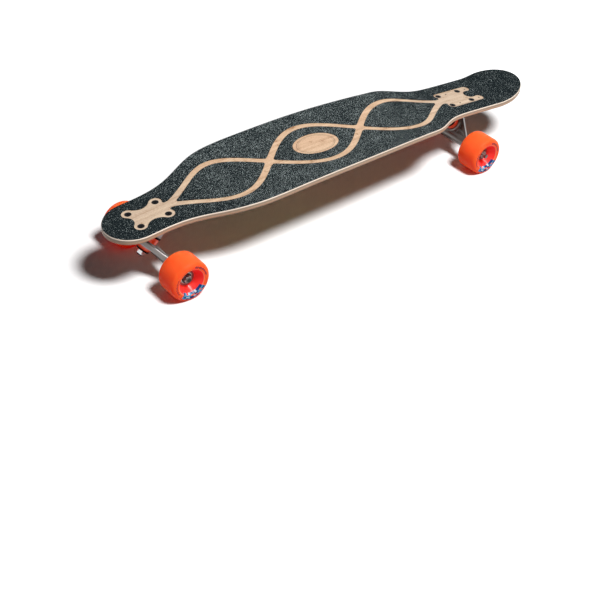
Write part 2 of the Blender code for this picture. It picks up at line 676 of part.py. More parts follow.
def make_baseplate(truck, name):
    x_start = PATTERN_AHEAD - PLATE_INBOARD
    x_stop = PATTERN_AHEAD + PLATE_OUTBOARD
    outline = rounded_rectangle(x_start, x_stop, PLATE_WIDTH, PLATE_CORNER)
    mesh = prism(f"{name}_baseplate", outline, TRUCK_HEIGHT - PLATE_THICKNESS, TRUCK_HEIGHT)
    plate = new_object(f"{name}_baseplate", mesh, cast_aluminium(), truck)
    side_view = Matrix(((1, 0, 0, 0), (0, 0, -1, 0), (0, 1, 0, 0), (0, 0, 0, 1)))
    for side in (-1, 1):
        outer = side * BOSS_RADIUS
        inner = side * (BOSS_RADIUS - CHEEK_THICKNESS)
        mesh = prism("cheek", cheek_outline(), min(inner, outer), max(inner, outer))
        boolean(plate, helper(f"{name}_cheek_{side}", mesh, truck, side_view), "UNION")
    far = 2 * TRUCK_HEIGHT
    boss_place = frame(RING, -KINGPIN)
    boss = cylinder("boss", BOSS_RADIUS, BOSS_FACE, far, ROUND_SEGMENTS)
    boolean(plate, helper(f"{name}_boss", boss, truck, boss_place), "UNION")
    steer_place = frame(RING, STEER)
    housing = cylinder("housing", HOUSING_RADIUS, HOUSING_MOUTH, far, ROUND_SEGMENTS)
    boolean(plate, helper(f"{name}_housing", housing, truck, steer_place), "UNION")
    above = prism("above", rounded_rectangle(-3 * far, 3 * far, 2 * far, far / 4), TRUCK_HEIGHT, 3 * far)
    boolean(plate, helper(f"{name}_above", above, truck), "DIFFERENCE")
    for end, (start, stop) in {"outboard": (x_stop, 3 * far), "inboard": (-3 * far, x_start)}.items():
        block = prism("end", rounded_rectangle(start, stop, 2 * far, PLATE_CORNER / 8), -far, far)
        boolean(plate, helper(f"{name}_{end}_end", block, truck), "DIFFERENCE")
    hole = cylinder("hole", KINGPIN_RADIUS + GAP, BOSS_FACE / 2, BOSS_BACK + BOSS_DEPTH, SMALL_SEGMENTS)
    boolean(plate, helper(f"{name}_kingpin_hole", hole, truck, boss_place), "DIFFERENCE")
    pocket = cylinder("pocket", POCKET_RADIUS, BOSS_BACK, 2 * far, ROUND_SEGMENTS)
    boolean(plate, helper(f"{name}_pocket", pocket, truck, boss_place), "DIFFERENCE")
    bore = cylinder("bore", cup_radius() + GAP, HOUSING_MOUTH / 2, cup_end() + GAP, ROUND_SEGMENTS)
    boolean(plate, helper(f"{name}_bore", bore, truck, steer_place), "DIFFERENCE")
    places = [(x + PATTERN_AHEAD, y) for x, y in pattern_places()]
    places += [(EXTRA_HOLE_OUTBOARD + PATTERN_AHEAD, y * BOLT_SPACING_WIDE / 2) for y in (-1, 1)]
    low = TRUCK_HEIGHT - 2 * PLATE_THICKNESS
    holes = hole_cutter(f"{name}_plate_holes", places, BOLT_RADIUS + GAP, truck, low, far)
    boolean(plate, holes, "DIFFERENCE")


def cup_radius():
    return PEG_RADIUS + RUNNING_GAP + CUP_WALL


def cup_end():
    """The pivot cup's closed end, along the steering axis from the ring's centre."""
    return PEG_LENGTH + RUNNING_GAP + CUP_FLOOR


def peg_radius(along):
    """The pivot peg tapers from the housing's mouth to its tip."""
    share = (along - HOUSING_MOUTH) / (PEG_LENGTH - HOUSING_MOUTH)
    return PEG_RADIUS + (PEG_TIP_RADIUS - PEG_RADIUS) * max(share, 0.0)


def make_pivot_cup(truck, name):
    start = HOUSING_MOUTH + GAP
    end = cup_end()
    floor = PEG_LENGTH + RUNNING_GAP
    mouth_radius = peg_radius(start) + RUNNING_GAP
    floor_radius = PEG_TIP_RADIUS + RUNNING_GAP
    profile = [(0.0, floor), (floor_radius, floor), (mouth_radius, start)]
    profile += [(cup_radius(), start), (cup_radius(), end), (0.0, end)]
    mesh = turned(f"{name}_cup", profile, ROUND_SEGMENTS, closed=False)
    new_object(f"{name}_pivot_cup", mesh, pivot_plastic(), truck, frame(RING, STEER))


def make_hanger(steer, name):
    """The hanger in the frame of its steering axis: X along the axle, Z on the axis to the pivot."""
    axle_place = frame((0.0, RING_ACROSS, -RING_ALONG), (1.0, 0.0, 0.0))
    end = HANGER_HALF_LENGTH
    end_radius = AXLE_HOUSING_END_RADIUS
    taper = end - AXLE_HOUSING_TAPER
    profile = [(0.0, -end), (end_radius, -end), (end_radius, -taper)]
    profile += [(AXLE_HOUSING_RADIUS, -WEB_HALF_WIDTH / 2)]
    profile += [(radius, -height) for radius, height in reversed(profile)]
    mesh = turned(f"{name}_hanger", profile, ROUND_SEGMENTS, closed=False)
    mesh.transform(axle_place)
    hanger = new_object(f"{name}_hanger", mesh, grey_aluminium(), steer)
    flat = Matrix(((0, 1, 0, 0), (0, 0, 1, 0), (1, 0, 0, 0), (0, 0, 0, 1)))
    corners = [(-RING_ALONG, WEB_HALF_WIDTH), (WEB_END, WEB_NECK_HALF_WIDTH)]
    corners += [(along, -across) for along, across in reversed(corners)]
    web = prism("web", corners, -WEB_HALF_THICKNESS, WEB_HALF_THICKNESS)
    boolean(hanger, helper(f"{name}_web", web, steer, flat), "UNION")
    ring = cylinder("ring", RING_RADIUS, -RING_HALF_HEIGHT, RING_HALF_HEIGHT, ROUND_SEGMENTS + 6)
    across = frame((0.0, 0.0, 0.0), (0.0, -1.0, 0.0), (1.0, 0.0, 0.0))
    boolean(hanger, helper(f"{name}_ring", ring, steer, across), "UNION")
    tip = PEG_LENGTH
    peg = [(0.0, RING_HALF_HEIGHT), (PEG_RADIUS, RING_HALF_HEIGHT), (PEG_RADIUS, HOUSING_MOUTH)]
    peg += [(peg_radius(tip - CUP_FLOOR), tip - CUP_FLOOR), (PEG_TIP_RADIUS / 2, tip), (0.0, tip)]
    boolean(hanger, helper(f"{name}_peg", turned("peg", peg, ROUND_SEGMENTS, closed=False), steer), "UNION")
    board_seat = BOARD_BUSHING_RADIUS + GAP
    road_seat = ROAD_BUSHING_RADIUS + GAP
    far = 3 * RING_HALF_HEIGHT
    hole = RING_HOLE_RADIUS
    cut = [(0.0, -far), (board_seat, -far), (board_seat, -SEAT_DEPTH), (hole, -SEAT_DEPTH)]
    cut += [(hole, SEAT_DEPTH), (road_seat, SEAT_DEPTH), (road_seat, far), (0.0, far)]
    seats = turned("seats", cut, ROUND_SEGMENTS, closed=False)
    boolean(hanger, helper(f"{name}_seats", seats, steer, across), "DIFFERENCE")
    bore = cylinder("axle_bore", AXLE_RADIUS + GAP, -2 * end, 2 * end, SMALL_SEGMENTS)
    boolean(hanger, helper(f"{name}_axle_bore", bore, steer, axle_place), "DIFFERENCE")
    axle = cylinder(f"{name}_axle", AXLE_RADIUS, -AXLE_HALF_LENGTH, AXLE_HALF_LENGTH, SMALL_SEGMENTS)
    new_object(f"{name}_axle", axle, steel(), steer, axle_place)


def make_kingpin_set(truck, name):
    """Kingpin, nut, washers and bushings, along the kingpin with its nut end up."""
    place = frame(RING, KINGPIN)
    end = NUT_SEAT + KINGPIN_NUT_HEIGHT + KINGPIN_PAST_NUT
    head_seat = -BOSS_BACK - GAP
    inside_head = head_seat - KINGPIN_HEAD_HEIGHT / 2
    shank = cylinder(f"{name}_kingpin", KINGPIN_RADIUS, inside_head, end, SMALL_SEGMENTS)
    kingpin = new_object(f"{name}_kingpin", shank, black_steel(), truck, place)
    head = prism("head", hexagon(KINGPIN_HEAD_RADIUS), head_seat - KINGPIN_HEAD_HEIGHT, head_seat)
    boolean(kingpin, helper(f"{name}_kingpin_head", head, truck, place), "UNION")
    nut_mesh = prism(f"{name}_nut", hexagon(KINGPIN_NUT_RADIUS), NUT_SEAT, NUT_SEAT + KINGPIN_NUT_HEIGHT)
    nut = new_object(f"{name}_kingpin_nut", nut_mesh, zinc(), truck, place)
    thread = cylinder("thread", KINGPIN_RADIUS + GAP, 0.0, 2 * end, SMALL_SEGMENTS)
    boolean(nut, helper(f"{name}_nut_thread", thread, truck, place), "DIFFERENCE")
    hole = KINGPIN_RADIUS + GAP
    seat = SEAT_DEPTH + GAP
    tip = -seat - BOARD_BUSHING_HEIGHT
    board = [(hole, -seat), (hole, tip), (BOARD_BUSHING_TIP_RADIUS, tip)]
    board += [(BOARD_BUSHING_RADIUS, tip + BOARD_BUSHING_TAPER), (BOARD_BUSHING_RADIUS, -seat)]
    mesh = turned(f"{name}_board_bushing", board, ROUND_SEGMENTS)
    new_object(f"{name}_boardside_bushing", mesh, bushing_urethane(), truck, place)
    tip = seat + ROAD_BUSHING_HEIGHT
    road = [(hole, seat), (ROAD_BUSHING_RADIUS, seat), (ROAD_BUSHING_RADIUS, seat + ROAD_BUSHING_RIM)]
    road += [(ROAD_BUSHING_TIP_RADIUS, tip - WASHER_RIM - GAP), (ROAD_BUSHING_TIP_RADIUS, tip), (hole, tip)]
    mesh = turned(f"{name}_road_bushing", road, ROUND_SEGMENTS)
    new_object(f"{name}_roadside_bushing", mesh, bushing_urethane(), truck, place)
    large = f"{name}_large_cup_washer"
    make_cup_washer(truck, large, LARGE_WASHER_RADIUS, BOARD_BUSHING_RADIUS, GAP - BOSS_FACE, 1)
    small = f"{name}_small_cup_washer"
    make_cup_washer(truck, small, SMALL_WASHER_RADIUS, ROAD_BUSHING_TIP_RADIUS, NUT_SEAT - GAP, -1)


def make_cup_washer(truck, name, radius, held_radius, back, facing):
    """A washer with its back at this place along the kingpin and its rim round the bushing."""
    hole = KINGPIN_RADIUS + GAP
    front = back + facing * WASHER_THICKNESS
    lip = front + facing * WASHER_RIM
    inner = held_radius + GAP
    profile = [(hole, back), (radius, back), (radius, lip), (inner, lip), (inner, front), (hole, front)]
    mesh = turned(name, profile, ROUND_SEGMENTS)
    new_object(name, mesh, black_steel(), truck, frame(RING, KINGPIN))


def make_bolts(truck, name):
    """Countersunk bolts from the deck's top, each with its lock nut under the plate."""
    top = STACK
    plate_face = TRUCK_HEIGHT - PLATE_THICKNESS
    nut_top = plate_face - GAP
    end = nut_top - BOLT_NUT_HEIGHT - BOLT_PAST_NUT
    socket = top - BOLT_SOCKET_DEPTH
    profile = [(0.0, socket), (BOLT_SOCKET_RADIUS, socket), (BOLT_SOCKET_RADIUS, top)]
    profile += [(BOLT_HEAD_RADIUS, top), (BOLT_RADIUS, top - BOLT_HEAD_DEPTH), (BOLT_RADIUS, end), (0.0, end)]
    ends = {-1: "inboard", 1: "outboard"}
    for sx in (-1, 1):
        for sy in (-1, 1):
            side = "left" if (sy > 0) == (name == "front") else "right"
            x = PATTERN_AHEAD + sx * BOLT_SPACING_LONG / 2
            place = Matrix.Translation((x, sy * BOLT_SPACING_WIDE / 2, 0.0))
            full = f"{name}_{ends[sx]}_{side}_bolt"
            bolt = new_object(full, turned(full, profile, SMALL_SEGMENTS, False), black_steel(), truck, place)
            nut = prism("nut", hexagon(BOLT_NUT_RADIUS), nut_top - BOLT_NUT_HEIGHT, nut_top)
            boolean(bolt, helper(f"{full}_nut", nut, truck, place), "UNION")


def tyre_profile():
    """Closed profile of the tyre as (radius, height) about its bearings' middle, with its outer side up."""
    outer = WHEEL_OFFSET + WHEEL_WIDTH / 2
    inner = WHEEL_OFFSET - WHEEL_WIDTH / 2
    bearing_face = BEARING_STACK / 2
    seat = CORE_RADIUS + GAP
    shoulder = WHEEL_RADIUS / math.cos(math.pi / WHEEL_SEGMENTS) - WHEEL_LIP  # flats touch the floor
    points = [(seat, bearing_face), (OUTER_CONE_RADIUS - CONE_EASE, outer - CONE_EASE)]
    points.append((OUTER_CONE_RADIUS, outer))
    quarter = [math.pi / 2 * i / 3 for i in range(4)]
    for angle in reversed(quarter):
        points.append((shoulder + WHEEL_LIP * math.cos(angle), outer - WHEEL_LIP * (1 - math.sin(angle))))
    for angle in quarter:
        points.append((shoulder + WHEEL_LIP * math.cos(angle), inner + WHEEL_LIP * (1 - math.sin(angle))))
    points += [(INNER_CONE_RADIUS, inner), (INNER_CONE_RADIUS - CONE_EASE, inner + CONE_EASE)]
    return points + [(seat, -bearing_face)]


def core_profile():
    """The hub: two bearing seats with a shoulder between them."""
    outer_face = BEARING_STACK / 2
    shoulder = SPACER_LENGTH / 2 - GAP
    seat = BEARING_RADIUS + GAP
    bore = SPACER_RADIUS + SPACER_GAP
    points = [(CORE_RADIUS, -outer_face), (CORE_RADIUS, outer_face), (seat, outer_face), (seat, shoulder)]
    return points + [(bore, shoulder), (bore, -shoulder), (seat, -shoulder), (seat, -outer_face)]


def sleeve_profile():
    """Speed washers, inner rings and spacer as they sit on the axle."""
    hole = AXLE_RADIUS + GAP
    stack = BEARING_STACK / 2
    end = stack + SPEED_WASHER
    half = SPACER_LENGTH / 2
    upper = [(SPACER_RADIUS, half), (INNER_RING_RADIUS, half), (INNER_RING_RADIUS, stack)]
    upper += [(SPEED_WASHER_RADIUS, stack), (SPEED_WASHER_RADIUS, end), (hole, end)]
    lower = [(radius, -height) for radius, height in reversed(upper)]
    return lower + upper


def bearing_profile():
    """The outer ring and its shields, about the bearing's middle."""
    half = BEARING_WIDTH / 2 - GAP
    bore = INNER_RING_RADIUS + RUNNING_GAP
    return [(bore, -half), (BEARING_RADIUS, -half), (BEARING_RADIUS, half), (bore, half)]


def make_wheel(steer, name, side, up):
    """A wheel on one end of the axle; side is 1 towards the truck's own +Y. One flat is on the floor."""
    place = frame((side * WHEEL_Y, RING_ACROSS, -RING_ALONG), (side, 0.0, 0.0), up)
    place = place @ Matrix.Rotation(math.pi / WHEEL_SEGMENTS, 4, "Z")
    hub = empty(f"{name}_wheel", place, steer)
    tyre = turned(f"{name}_tyre", tyre_profile(), WHEEL_SEGMENTS)
    new_object(f"{name}_tyre", tyre, orange_urethane(), hub)
    core = turned(f"{name}_core", core_profile(), ROUND_SEGMENTS)
    new_object(f"{name}_core", core, core_plastic(), hub)
    reach = (SPACER_LENGTH + BEARING_WIDTH) / 2
    for which, height in (("inner", -reach), ("outer", reach)):
        full = f"{name}_{which}_bearing"
        matrix = Matrix.Translation((0.0, 0.0, height))
        new_object(full, turned(full, bearing_profile(), ROUND_SEGMENTS), bearing_shield(), hub, matrix)
    full = f"{name}_spacer_set"
    new_object(full, turned(full, sleeve_profile(), SMALL_SEGMENTS), steel(), steer, place)
    seat = NUT_Y - WHEEL_Y
    mesh = prism(f"{name}_nut", hexagon(AXLE_NUT_RADIUS), seat, seat + AXLE_NUT_HEIGHT)
    nut = new_object(f"{name}_axle_nut", mesh, zinc(), steer, place)
    thread = cylinder("thread", AXLE_RADIUS + GAP, 0.0, 2 * AXLE_HALF_LENGTH, SMALL_SEGMENTS)
    boolean(nut, helper(f"{name}_nut_thread", thread, steer, place), "DIFFERENCE")


def steer_matrix():
    """The steering axis in the truck's frame: Z on the axis, X along the axle, Y on the kingpin."""
    x_axis = Vector((0.0, 1.0, 0.0))
    y_axis = STEER.cross(x_axis)
    rotation = Matrix((x_axis, y_axis, STEER)).transposed()
    return Matrix.Translation(RING) @ rotation.to_4x4()


def make_truck(front):
    name = "front" if front else "rear"
    truck = empty(f"{name}_truck", truck_matrix(front))
    steer = empty(f"{name}_steering_axis", steer_matrix(), truck)
    make_riser(truck, name)
    make_baseplate(truck, name)
    make_pivot_cup(truck, name)
    make_kingpin_set(truck, name)
    make_bolts(truck, name)
    make_hanger(steer, name)
    up = (truck_matrix(front) @ steer_matrix()).to_3x3().inverted() @ Vector((0.0, 0.0, 1.0))
    for side in (-1, 1):
        hand = "left" if (side > 0) == front else "right"
        make_wheel(steer, f"{name}_{hand}", side, up)


def main():
    clear_scene()
    make_deck()
    make_grip_outer()
    make_grip_lenses()
    for front in (True, False):
        make_truck(front)


main()
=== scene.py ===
"""A kicktail longboard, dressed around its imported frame: a bamboo deck with cut grip, two steering trucks
and four urethane wheels. Metres, +Z up, nose towards +X and left rail towards +Y. The file is laid out
as a Blender add-on and is run as a script."""

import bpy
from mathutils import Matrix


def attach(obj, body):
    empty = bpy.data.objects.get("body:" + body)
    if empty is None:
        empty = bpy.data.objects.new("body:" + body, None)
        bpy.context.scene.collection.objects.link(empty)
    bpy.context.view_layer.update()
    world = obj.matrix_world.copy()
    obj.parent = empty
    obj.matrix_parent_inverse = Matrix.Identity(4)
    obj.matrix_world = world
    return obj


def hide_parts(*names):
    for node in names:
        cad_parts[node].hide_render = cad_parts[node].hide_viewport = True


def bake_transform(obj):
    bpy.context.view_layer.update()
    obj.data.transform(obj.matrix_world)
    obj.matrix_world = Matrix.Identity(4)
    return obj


bl_info = {
    "name": "Kicktail longboard",
    "version": (1, 0, 0),
    "blender": (4, 5, 0),
    "location": "3D View > Sidebar > Longboard",
    "description": "Builds a kicktail longboard piece by piece around its packed frame",
    "category": "Add Mesh",
}

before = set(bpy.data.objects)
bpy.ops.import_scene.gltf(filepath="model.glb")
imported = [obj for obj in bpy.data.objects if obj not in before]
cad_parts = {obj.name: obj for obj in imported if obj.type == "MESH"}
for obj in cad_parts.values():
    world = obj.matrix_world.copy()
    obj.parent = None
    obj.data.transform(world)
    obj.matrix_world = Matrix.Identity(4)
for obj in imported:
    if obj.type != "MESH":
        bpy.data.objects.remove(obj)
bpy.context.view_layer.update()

import math

import bmesh
import bpy
from mathutils import Matrix, Vector

# Fits
GAP = 0.0003
RUNNING_GAP = 0.0004

# Deck plan
DECK_LENGTH = 0.974
DECK_WIDTH = 0.2045
DECK_THICKNESS = 0.010
WHEELBASE = 0.722
NOSE_OVERHANG = 0.083
NOSE_NECK_WIDTH = 0.1036
NOSE_ROUND = 0.0535
NOSE_SHOULDER_LENGTH = 0.260
NOSE_SHOULDER_EASE = (1.7, 3.2)
TAIL_NECK_WIDTH = 0.1168
TAIL_WIDTH = 0.1188
TAIL_FLARE_LENGTH = 0.100
TAIL_ROUND = 0.070
TAIL_SHOULDER_LENGTH = 0.156
TAIL_SHOULDER_EASE = (3.1, 1.7)
TAIL_SHOULDER_WIDTH = 0.185
WIDEST_BEHIND_FRONT = 0.334

# Deck profile
PAD_ANGLE = math.radians(4.4)
PAD_HALF_LENGTH = 0.046
CONCAVE_DEPTH = 0.0066
CONCAVE_BLEND = 0.110
KICK_START = 0.070
KICK_LENGTH = 0.035
KICK_ANGLE = math.radians(13.3)

# Grip
GRIP_INSET = 0.0010
BAND_WIDTH = 0.012
BAND_SHARE = 0.60
LENS_COUNT = 3
LENS_BLUNT = 0.002
BAND_START = 0.041
CORNER_EASE = 0.006
NOSE_LOBE_RADIUS = 0.0115
TAIL_LOBE_RADIUS = 0.0095
NOSE_WAIST = 0.0190
WINDOW_END = 0.0290
FORK_EASE = 0.0035
MEDALLION_LENGTH_SHARE = 0.50
MEDALLION_WIDTH_SHARE = 0.58

# Bolts
BOLT_SPACING_LONG = 0.053975
BOLT_SPACING_WIDE = 0.041275
BOLT_RADIUS = 0.0024
BOLT_HEAD_RADIUS = 0.0053
BOLT_HEAD_DEPTH = 0.0030
BOLT_PAST_NUT = 0.0015
BOLT_SOCKET_RADIUS = 0.0019
BOLT_SOCKET_DEPTH = 0.0018
BOLT_NUT_RADIUS = 0.0054
BOLT_NUT_HEIGHT = 0.0048
PILOT_RADIUS = 0.0013
PILOT_SHIFT = 0.0215

# Trucks, each in its own frame: X outboard, Y along the axle, Z to the deck, origin on the axle
TRUCK_HEIGHT = 0.0640
PATTERN_AHEAD = 0.0030
STEER_ANGLE = math.radians(50.0)
RING_ALONG = 0.0228
RING_ACROSS = -0.0028
RISER_THICKNESS = 0.0026
PLATE_THICKNESS = 0.0060
PLATE_INBOARD = 0.0385
PLATE_OUTBOARD = 0.0470
PLATE_WIDTH = 0.0550
PLATE_CORNER = 0.0080
EXTRA_HOLE_OUTBOARD = 0.0365
BOSS_RADIUS = 0.0132
BOSS_DEPTH = 0.0095
POCKET_RADIUS = 0.0086
CHEEK_THICKNESS = 0.0050
SADDLE_HEIGHT = 0.0115
HOUSING_RADIUS = 0.0115
HOUSING_MOUTH = 0.0275

# Kingpin and what it holds
KINGPIN_RADIUS = 0.00476
KINGPIN_HEAD_RADIUS = 0.0078
KINGPIN_HEAD_HEIGHT = 0.0070
KINGPIN_PAST_NUT = 0.0018
KINGPIN_NUT_RADIUS = 0.0078
KINGPIN_NUT_HEIGHT = 0.0068
SEAT_DEPTH = 0.0030
BOARD_BUSHING_RADIUS = 0.0140
BOARD_BUSHING_TIP_RADIUS = 0.0125
BOARD_BUSHING_TAPER = 0.0030
BOARD_BUSHING_HEIGHT = 0.0137
ROAD_BUSHING_RADIUS = 0.0145
ROAD_BUSHING_TIP_RADIUS = 0.0102
ROAD_BUSHING_RIM = 0.0031
ROAD_BUSHING_HEIGHT = 0.0092
LARGE_WASHER_RADIUS = 0.0152
SMALL_WASHER_RADIUS = 0.0118
WASHER_THICKNESS = 0.0016
WASHER_RIM = 0.0012

# Hanger
HANGER_HALF_LENGTH = 0.0740
AXLE_HOUSING_RADIUS = 0.0080
AXLE_HOUSING_END_RADIUS = 0.0073
AXLE_HOUSING_TAPER = 0.0180
RING_RADIUS = 0.0185
RING_HALF_HEIGHT = 0.0060
RING_HOLE_RADIUS = 0.0068
WEB_HALF_THICKNESS = 0.0042
WEB_HALF_WIDTH = 0.0640
WEB_NECK_HALF_WIDTH = 0.0078
WEB_END = 0.0262
WEB_POCKET_FLOOR = -0.0010
WEB_POCKETS = (
    ((-0.0125, 0.0200), (-0.0125, 0.0455), (-0.0065, 0.0345), (-0.0045, 0.0225)),
    ((-0.0015, 0.0215), (-0.0030, 0.0330), (0.0095, 0.0200), (0.0080, 0.0185)),
)
PEG_RADIUS = 0.0072
PEG_TIP_RADIUS = 0.0048
PEG_LENGTH = 0.0385
CUP_WALL = 0.0022
CUP_FLOOR = 0.0025

# Axle and wheels
AXLE_RADIUS = 0.0040
AXLE_PAST_NUT = 0.0008
AXLE_NUT_RADIUS = 0.0073
AXLE_NUT_HEIGHT = 0.0060
SPEED_WASHER = 0.0010
SPEED_WASHER_RADIUS = 0.0060
WHEEL_RADIUS = 0.0375
WHEEL_WIDTH = 0.0480
WHEEL_OFFSET = 0.0036
OUTER_CONE_RADIUS = 0.0250
INNER_CONE_RADIUS = 0.0265
CORE_RADIUS = 0.0145
BEARING_RADIUS = 0.0110
BEARING_WIDTH = 0.0070
SPACER_LENGTH = 0.0100
SPACER_RADIUS = 0.0052
SPACER_GAP = 0.0012
INNER_RING_RADIUS = 0.0062
SHIELD_RADIUS = 0.0089

# Fineness of the dressed meshes
WHEEL_SEGMENTS = 96
ROUND_SEGMENTS = 48
SMALL_SEGMENTS = 32
OUTLINE_STEP = 0.0060
ROW_STEP = 0.0120
COLUMN_STEP = 0.0120
END_STEPS = 20
ARC_STEP = math.radians(9)
VOXEL = 0.0006

# Places that follow from the sizes
NOSE_TIP_X = DECK_LENGTH / 2
TAIL_TIP_X = -DECK_LENGTH / 2
FRONT_X = NOSE_TIP_X - NOSE_OVERHANG
REAR_X = FRONT_X - WHEELBASE
MIDDLE_X = (FRONT_X + REAR_X) / 2
STACK = DECK_THICKNESS + GAP + RISER_THICKNESS + GAP + TRUCK_HEIGHT
PAD_HEIGHT = WHEEL_RADIUS + STACK * math.cos(PAD_ANGLE) - PATTERN_AHEAD * math.sin(PAD_ANGLE)
ARCH_HALF_SPAN = WHEELBASE / 2 - PAD_HALF_LENGTH
ARCH_HEIGHT = math.tan(PAD_ANGLE) * (ARCH_HALF_SPAN / 2 + PAD_HALF_LENGTH)
STEER = Vector((math.cos(STEER_ANGLE), 0.0, math.sin(STEER_ANGLE)))
KINGPIN = Vector((math.sin(STEER_ANGLE), 0.0, -math.cos(STEER_ANGLE)))
RING = RING_ALONG * STEER + RING_ACROSS * KINGPIN
BOSS_FACE = SEAT_DEPTH + GAP + BOARD_BUSHING_HEIGHT + GAP + WASHER_THICKNESS + GAP
BOSS_BACK = BOSS_FACE + BOSS_DEPTH
NUT_SEAT = SEAT_DEPTH + GAP + ROAD_BUSHING_HEIGHT + GAP + WASHER_THICKNESS + GAP
BEARING_STACK = 2 * BEARING_WIDTH + SPACER_LENGTH
WHEEL_Y = HANGER_HALF_LENGTH + GAP + SPEED_WASHER + BEARING_STACK / 2
NUT_Y = WHEEL_Y + BEARING_STACK / 2 + SPEED_WASHER + GAP
AXLE_HALF_LENGTH = NUT_Y + AXLE_NUT_HEIGHT + AXLE_PAST_NUT
CUP_RADIUS = PEG_RADIUS + RUNNING_GAP + CUP_WALL
CUP_END = PEG_LENGTH + RUNNING_GAP + CUP_FLOOR
ENDS = ("front", "rear")


def colour_property(name, description, colour):
    return bpy.props.FloatVectorProperty(
        name=name, description=description, subtype="COLOR", size=3, min=0.0, max=1.0, default=colour
    )


def length_property(name, description, default):
    return bpy.props.FloatProperty(
        name=name, description=description, default=default, min=0.0, precision=4, unit="LENGTH"
    )


class LongboardDeckSettings(bpy.types.PropertyGroup):
    """What a maker would change on the deck and its grip."""

    edge_rounding: length_property("Edge rounding", "Radius of the deck's rails", 0.0018)
    strip_width: length_property("Strip width", "Width of one bamboo strip in the face plies", 0.0062)
    top_wood: colour_property("Top wood", "Colour of the upper face's middle", (0.630, 0.420, 0.270))
    end_wood: colour_property("End wood", "Paler colour of the upper face's ends", (0.590, 0.450, 0.330))
    under_wood: colour_property("Under wood", "Colour of the varnished underside", (0.72, 0.315, 0.080))
    edge_wood: colour_property("Edge wood", "Colour of the sanded plies in the rail", (0.62, 0.475, 0.345))
    brown_print: colour_property("Brown print", "Colour of the ripple rings", (0.10, 0.030, 0.012))
    green_print: colour_property("Green print", "Colour of the discs", (0.055, 0.20, 0.030))
    grip_colour: colour_property("Grip", "Colour of the abrasive sheet", (0.0040, 0.0070, 0.0082))
    grip_thickness: length_property("Grip thickness", "Thickness of the abrasive sheet", 0.0008)
    grit_size: length_property("Grit size", "Size of one grain", 0.0007)


class LongboardTruckSettings(bpy.types.PropertyGroup):
    """What a maker would change on the trucks."""

    # Painted shade: the baseplates' colour is darker than the bare cast metal, for their place under the deck.
    casting: colour_property("Casting", "Colour of the baseplates", (0.34, 0.335, 0.33))
    satin: colour_property("Hanger", "Colour of the hangers", (0.23, 0.215, 0.205))
    zinc: colour_property("Zinc", "Colour of the plated nuts", (0.72, 0.74, 0.77))
    # Painted shade: the axles and axle nuts are coloured darker than bare steel, for the shade deep in the wheels'
    # recesses.
    dark_steel: colour_property("Axles", "Colour of the axles", (0.030, 0.024, 0.022))
    nut_steel: colour_property("Axle nuts", "Colour of the axle nuts", (0.16, 0.14, 0.125))
    bushing: colour_property("Bushing", "Colour of the bushings", (0.95, 0.11, 0.018))
    softening: bpy.props.IntProperty(
        name="Softening", description="How many times the castings' edges are smoothed", default=6, min=0
    )


class LongboardWheelSettings(bpy.types.PropertyGroup):
    """What a maker would change on the wheels."""

    lip: length_property("Lip", "Rounding of the tyre's shoulders", 0.0070)
    cone_ease: length_property("Cone edge", "Rounding of the edge of the recess", 0.0012)
    urethane: colour_property("Urethane", "Colour of the tyres", (0.98, 0.118, 0.022))
    dark_blocks: colour_property("Dark blocks", "Darker colour of the printed blocks", (0.006, 0.035, 0.15))
    light_blocks: colour_property("Light blocks", "Lighter colour of the printed blocks", (0.09, 0.32, 0.52))
    ticks: colour_property("Ticks", "Colour of the printed ticks", (0.08, 0.009, 0.05))
    # Painted shade: the deeper red stands in for the shade inside the wheel's recess.
    recess: colour_property("Recess", "Deeper colour of the urethane in the recess", (0.90, 0.042, 0.033))
    # Painted highlight: a pale line along the recess's rounded rim.
    recess_rim_highlight: colour_property("Recess edge", "Paler colour of the recess's cut edge", (1.0, 0.40, 0.26))


class LongboardStageSettings(bpy.types.PropertyGroup):
    """What a photographer would change on the stage."""

    floor_size: length_property("Floor size", "Length of the floor's sides", 12.0)
    floor_colour: colour_property("Floor", "Colour of the floor", (0.33, 0.335, 0.41))
    key_power: bpy.props.FloatProperty(
        name="Key", description="Power of the key lamp", subtype="POWER", default=155.0
    )
    fill_strength: bpy.props.FloatProperty(name="Fill", description="Brightness of the room", default=0.04)
    key_size: length_property("Softness", "Width of the key lamp", 0.90)


def smooth(share):
    """Eases from 0 to 1 with level ends."""
    share = min(max(share, 0.0), 1.0)
    return share * share * (3.0 - 2.0 * share)


def ease(share, power_in, power_out):
    """Eases from 0 to 1, leaving and arriving as gently as the powers say."""
    share = min(max(share, 0.0), 1.0)
    risen = share**power_in
    return risen / (risen + (1.0 - share) ** power_out)


def half_width(x):
    """Half the deck's width at x."""
    widest = FRONT_X - WIDEST_BEHIND_FRONT
    off_widest = (widest - x) / (widest - REAR_X - TAIL_SHOULDER_LENGTH)
    swell = math.cos(math.pi / 2 * min(max(off_widest, 0.0), 1.0))
    middle = TAIL_SHOULDER_WIDTH + (DECK_WIDTH - TAIL_SHOULDER_WIDTH) * swell
    flare = smooth((REAR_X - x) / TAIL_FLARE_LENGTH)
    tail = TAIL_NECK_WIDTH + (TAIL_WIDTH - TAIL_NECK_WIDTH) * flare
    width = tail + (middle - tail) * ease((x - REAR_X) / TAIL_SHOULDER_LENGTH, *TAIL_SHOULDER_EASE)
    nose_shoulder = ease((FRONT_X - x) / NOSE_SHOULDER_LENGTH, *NOSE_SHOULDER_EASE)
    width = NOSE_NECK_WIDTH + (width - NOSE_NECK_WIDTH) * nose_shoulder
    past_nose = max(0.0, (x - NOSE_TIP_X + NOSE_ROUND) / NOSE_ROUND)
    past_tail = max(0.0, (TAIL_TIP_X + TAIL_ROUND - x) / TAIL_ROUND)
    past = min(max(past_nose, past_tail), 1.0)
    return width / 2 * math.sqrt(1.0 - past * past)


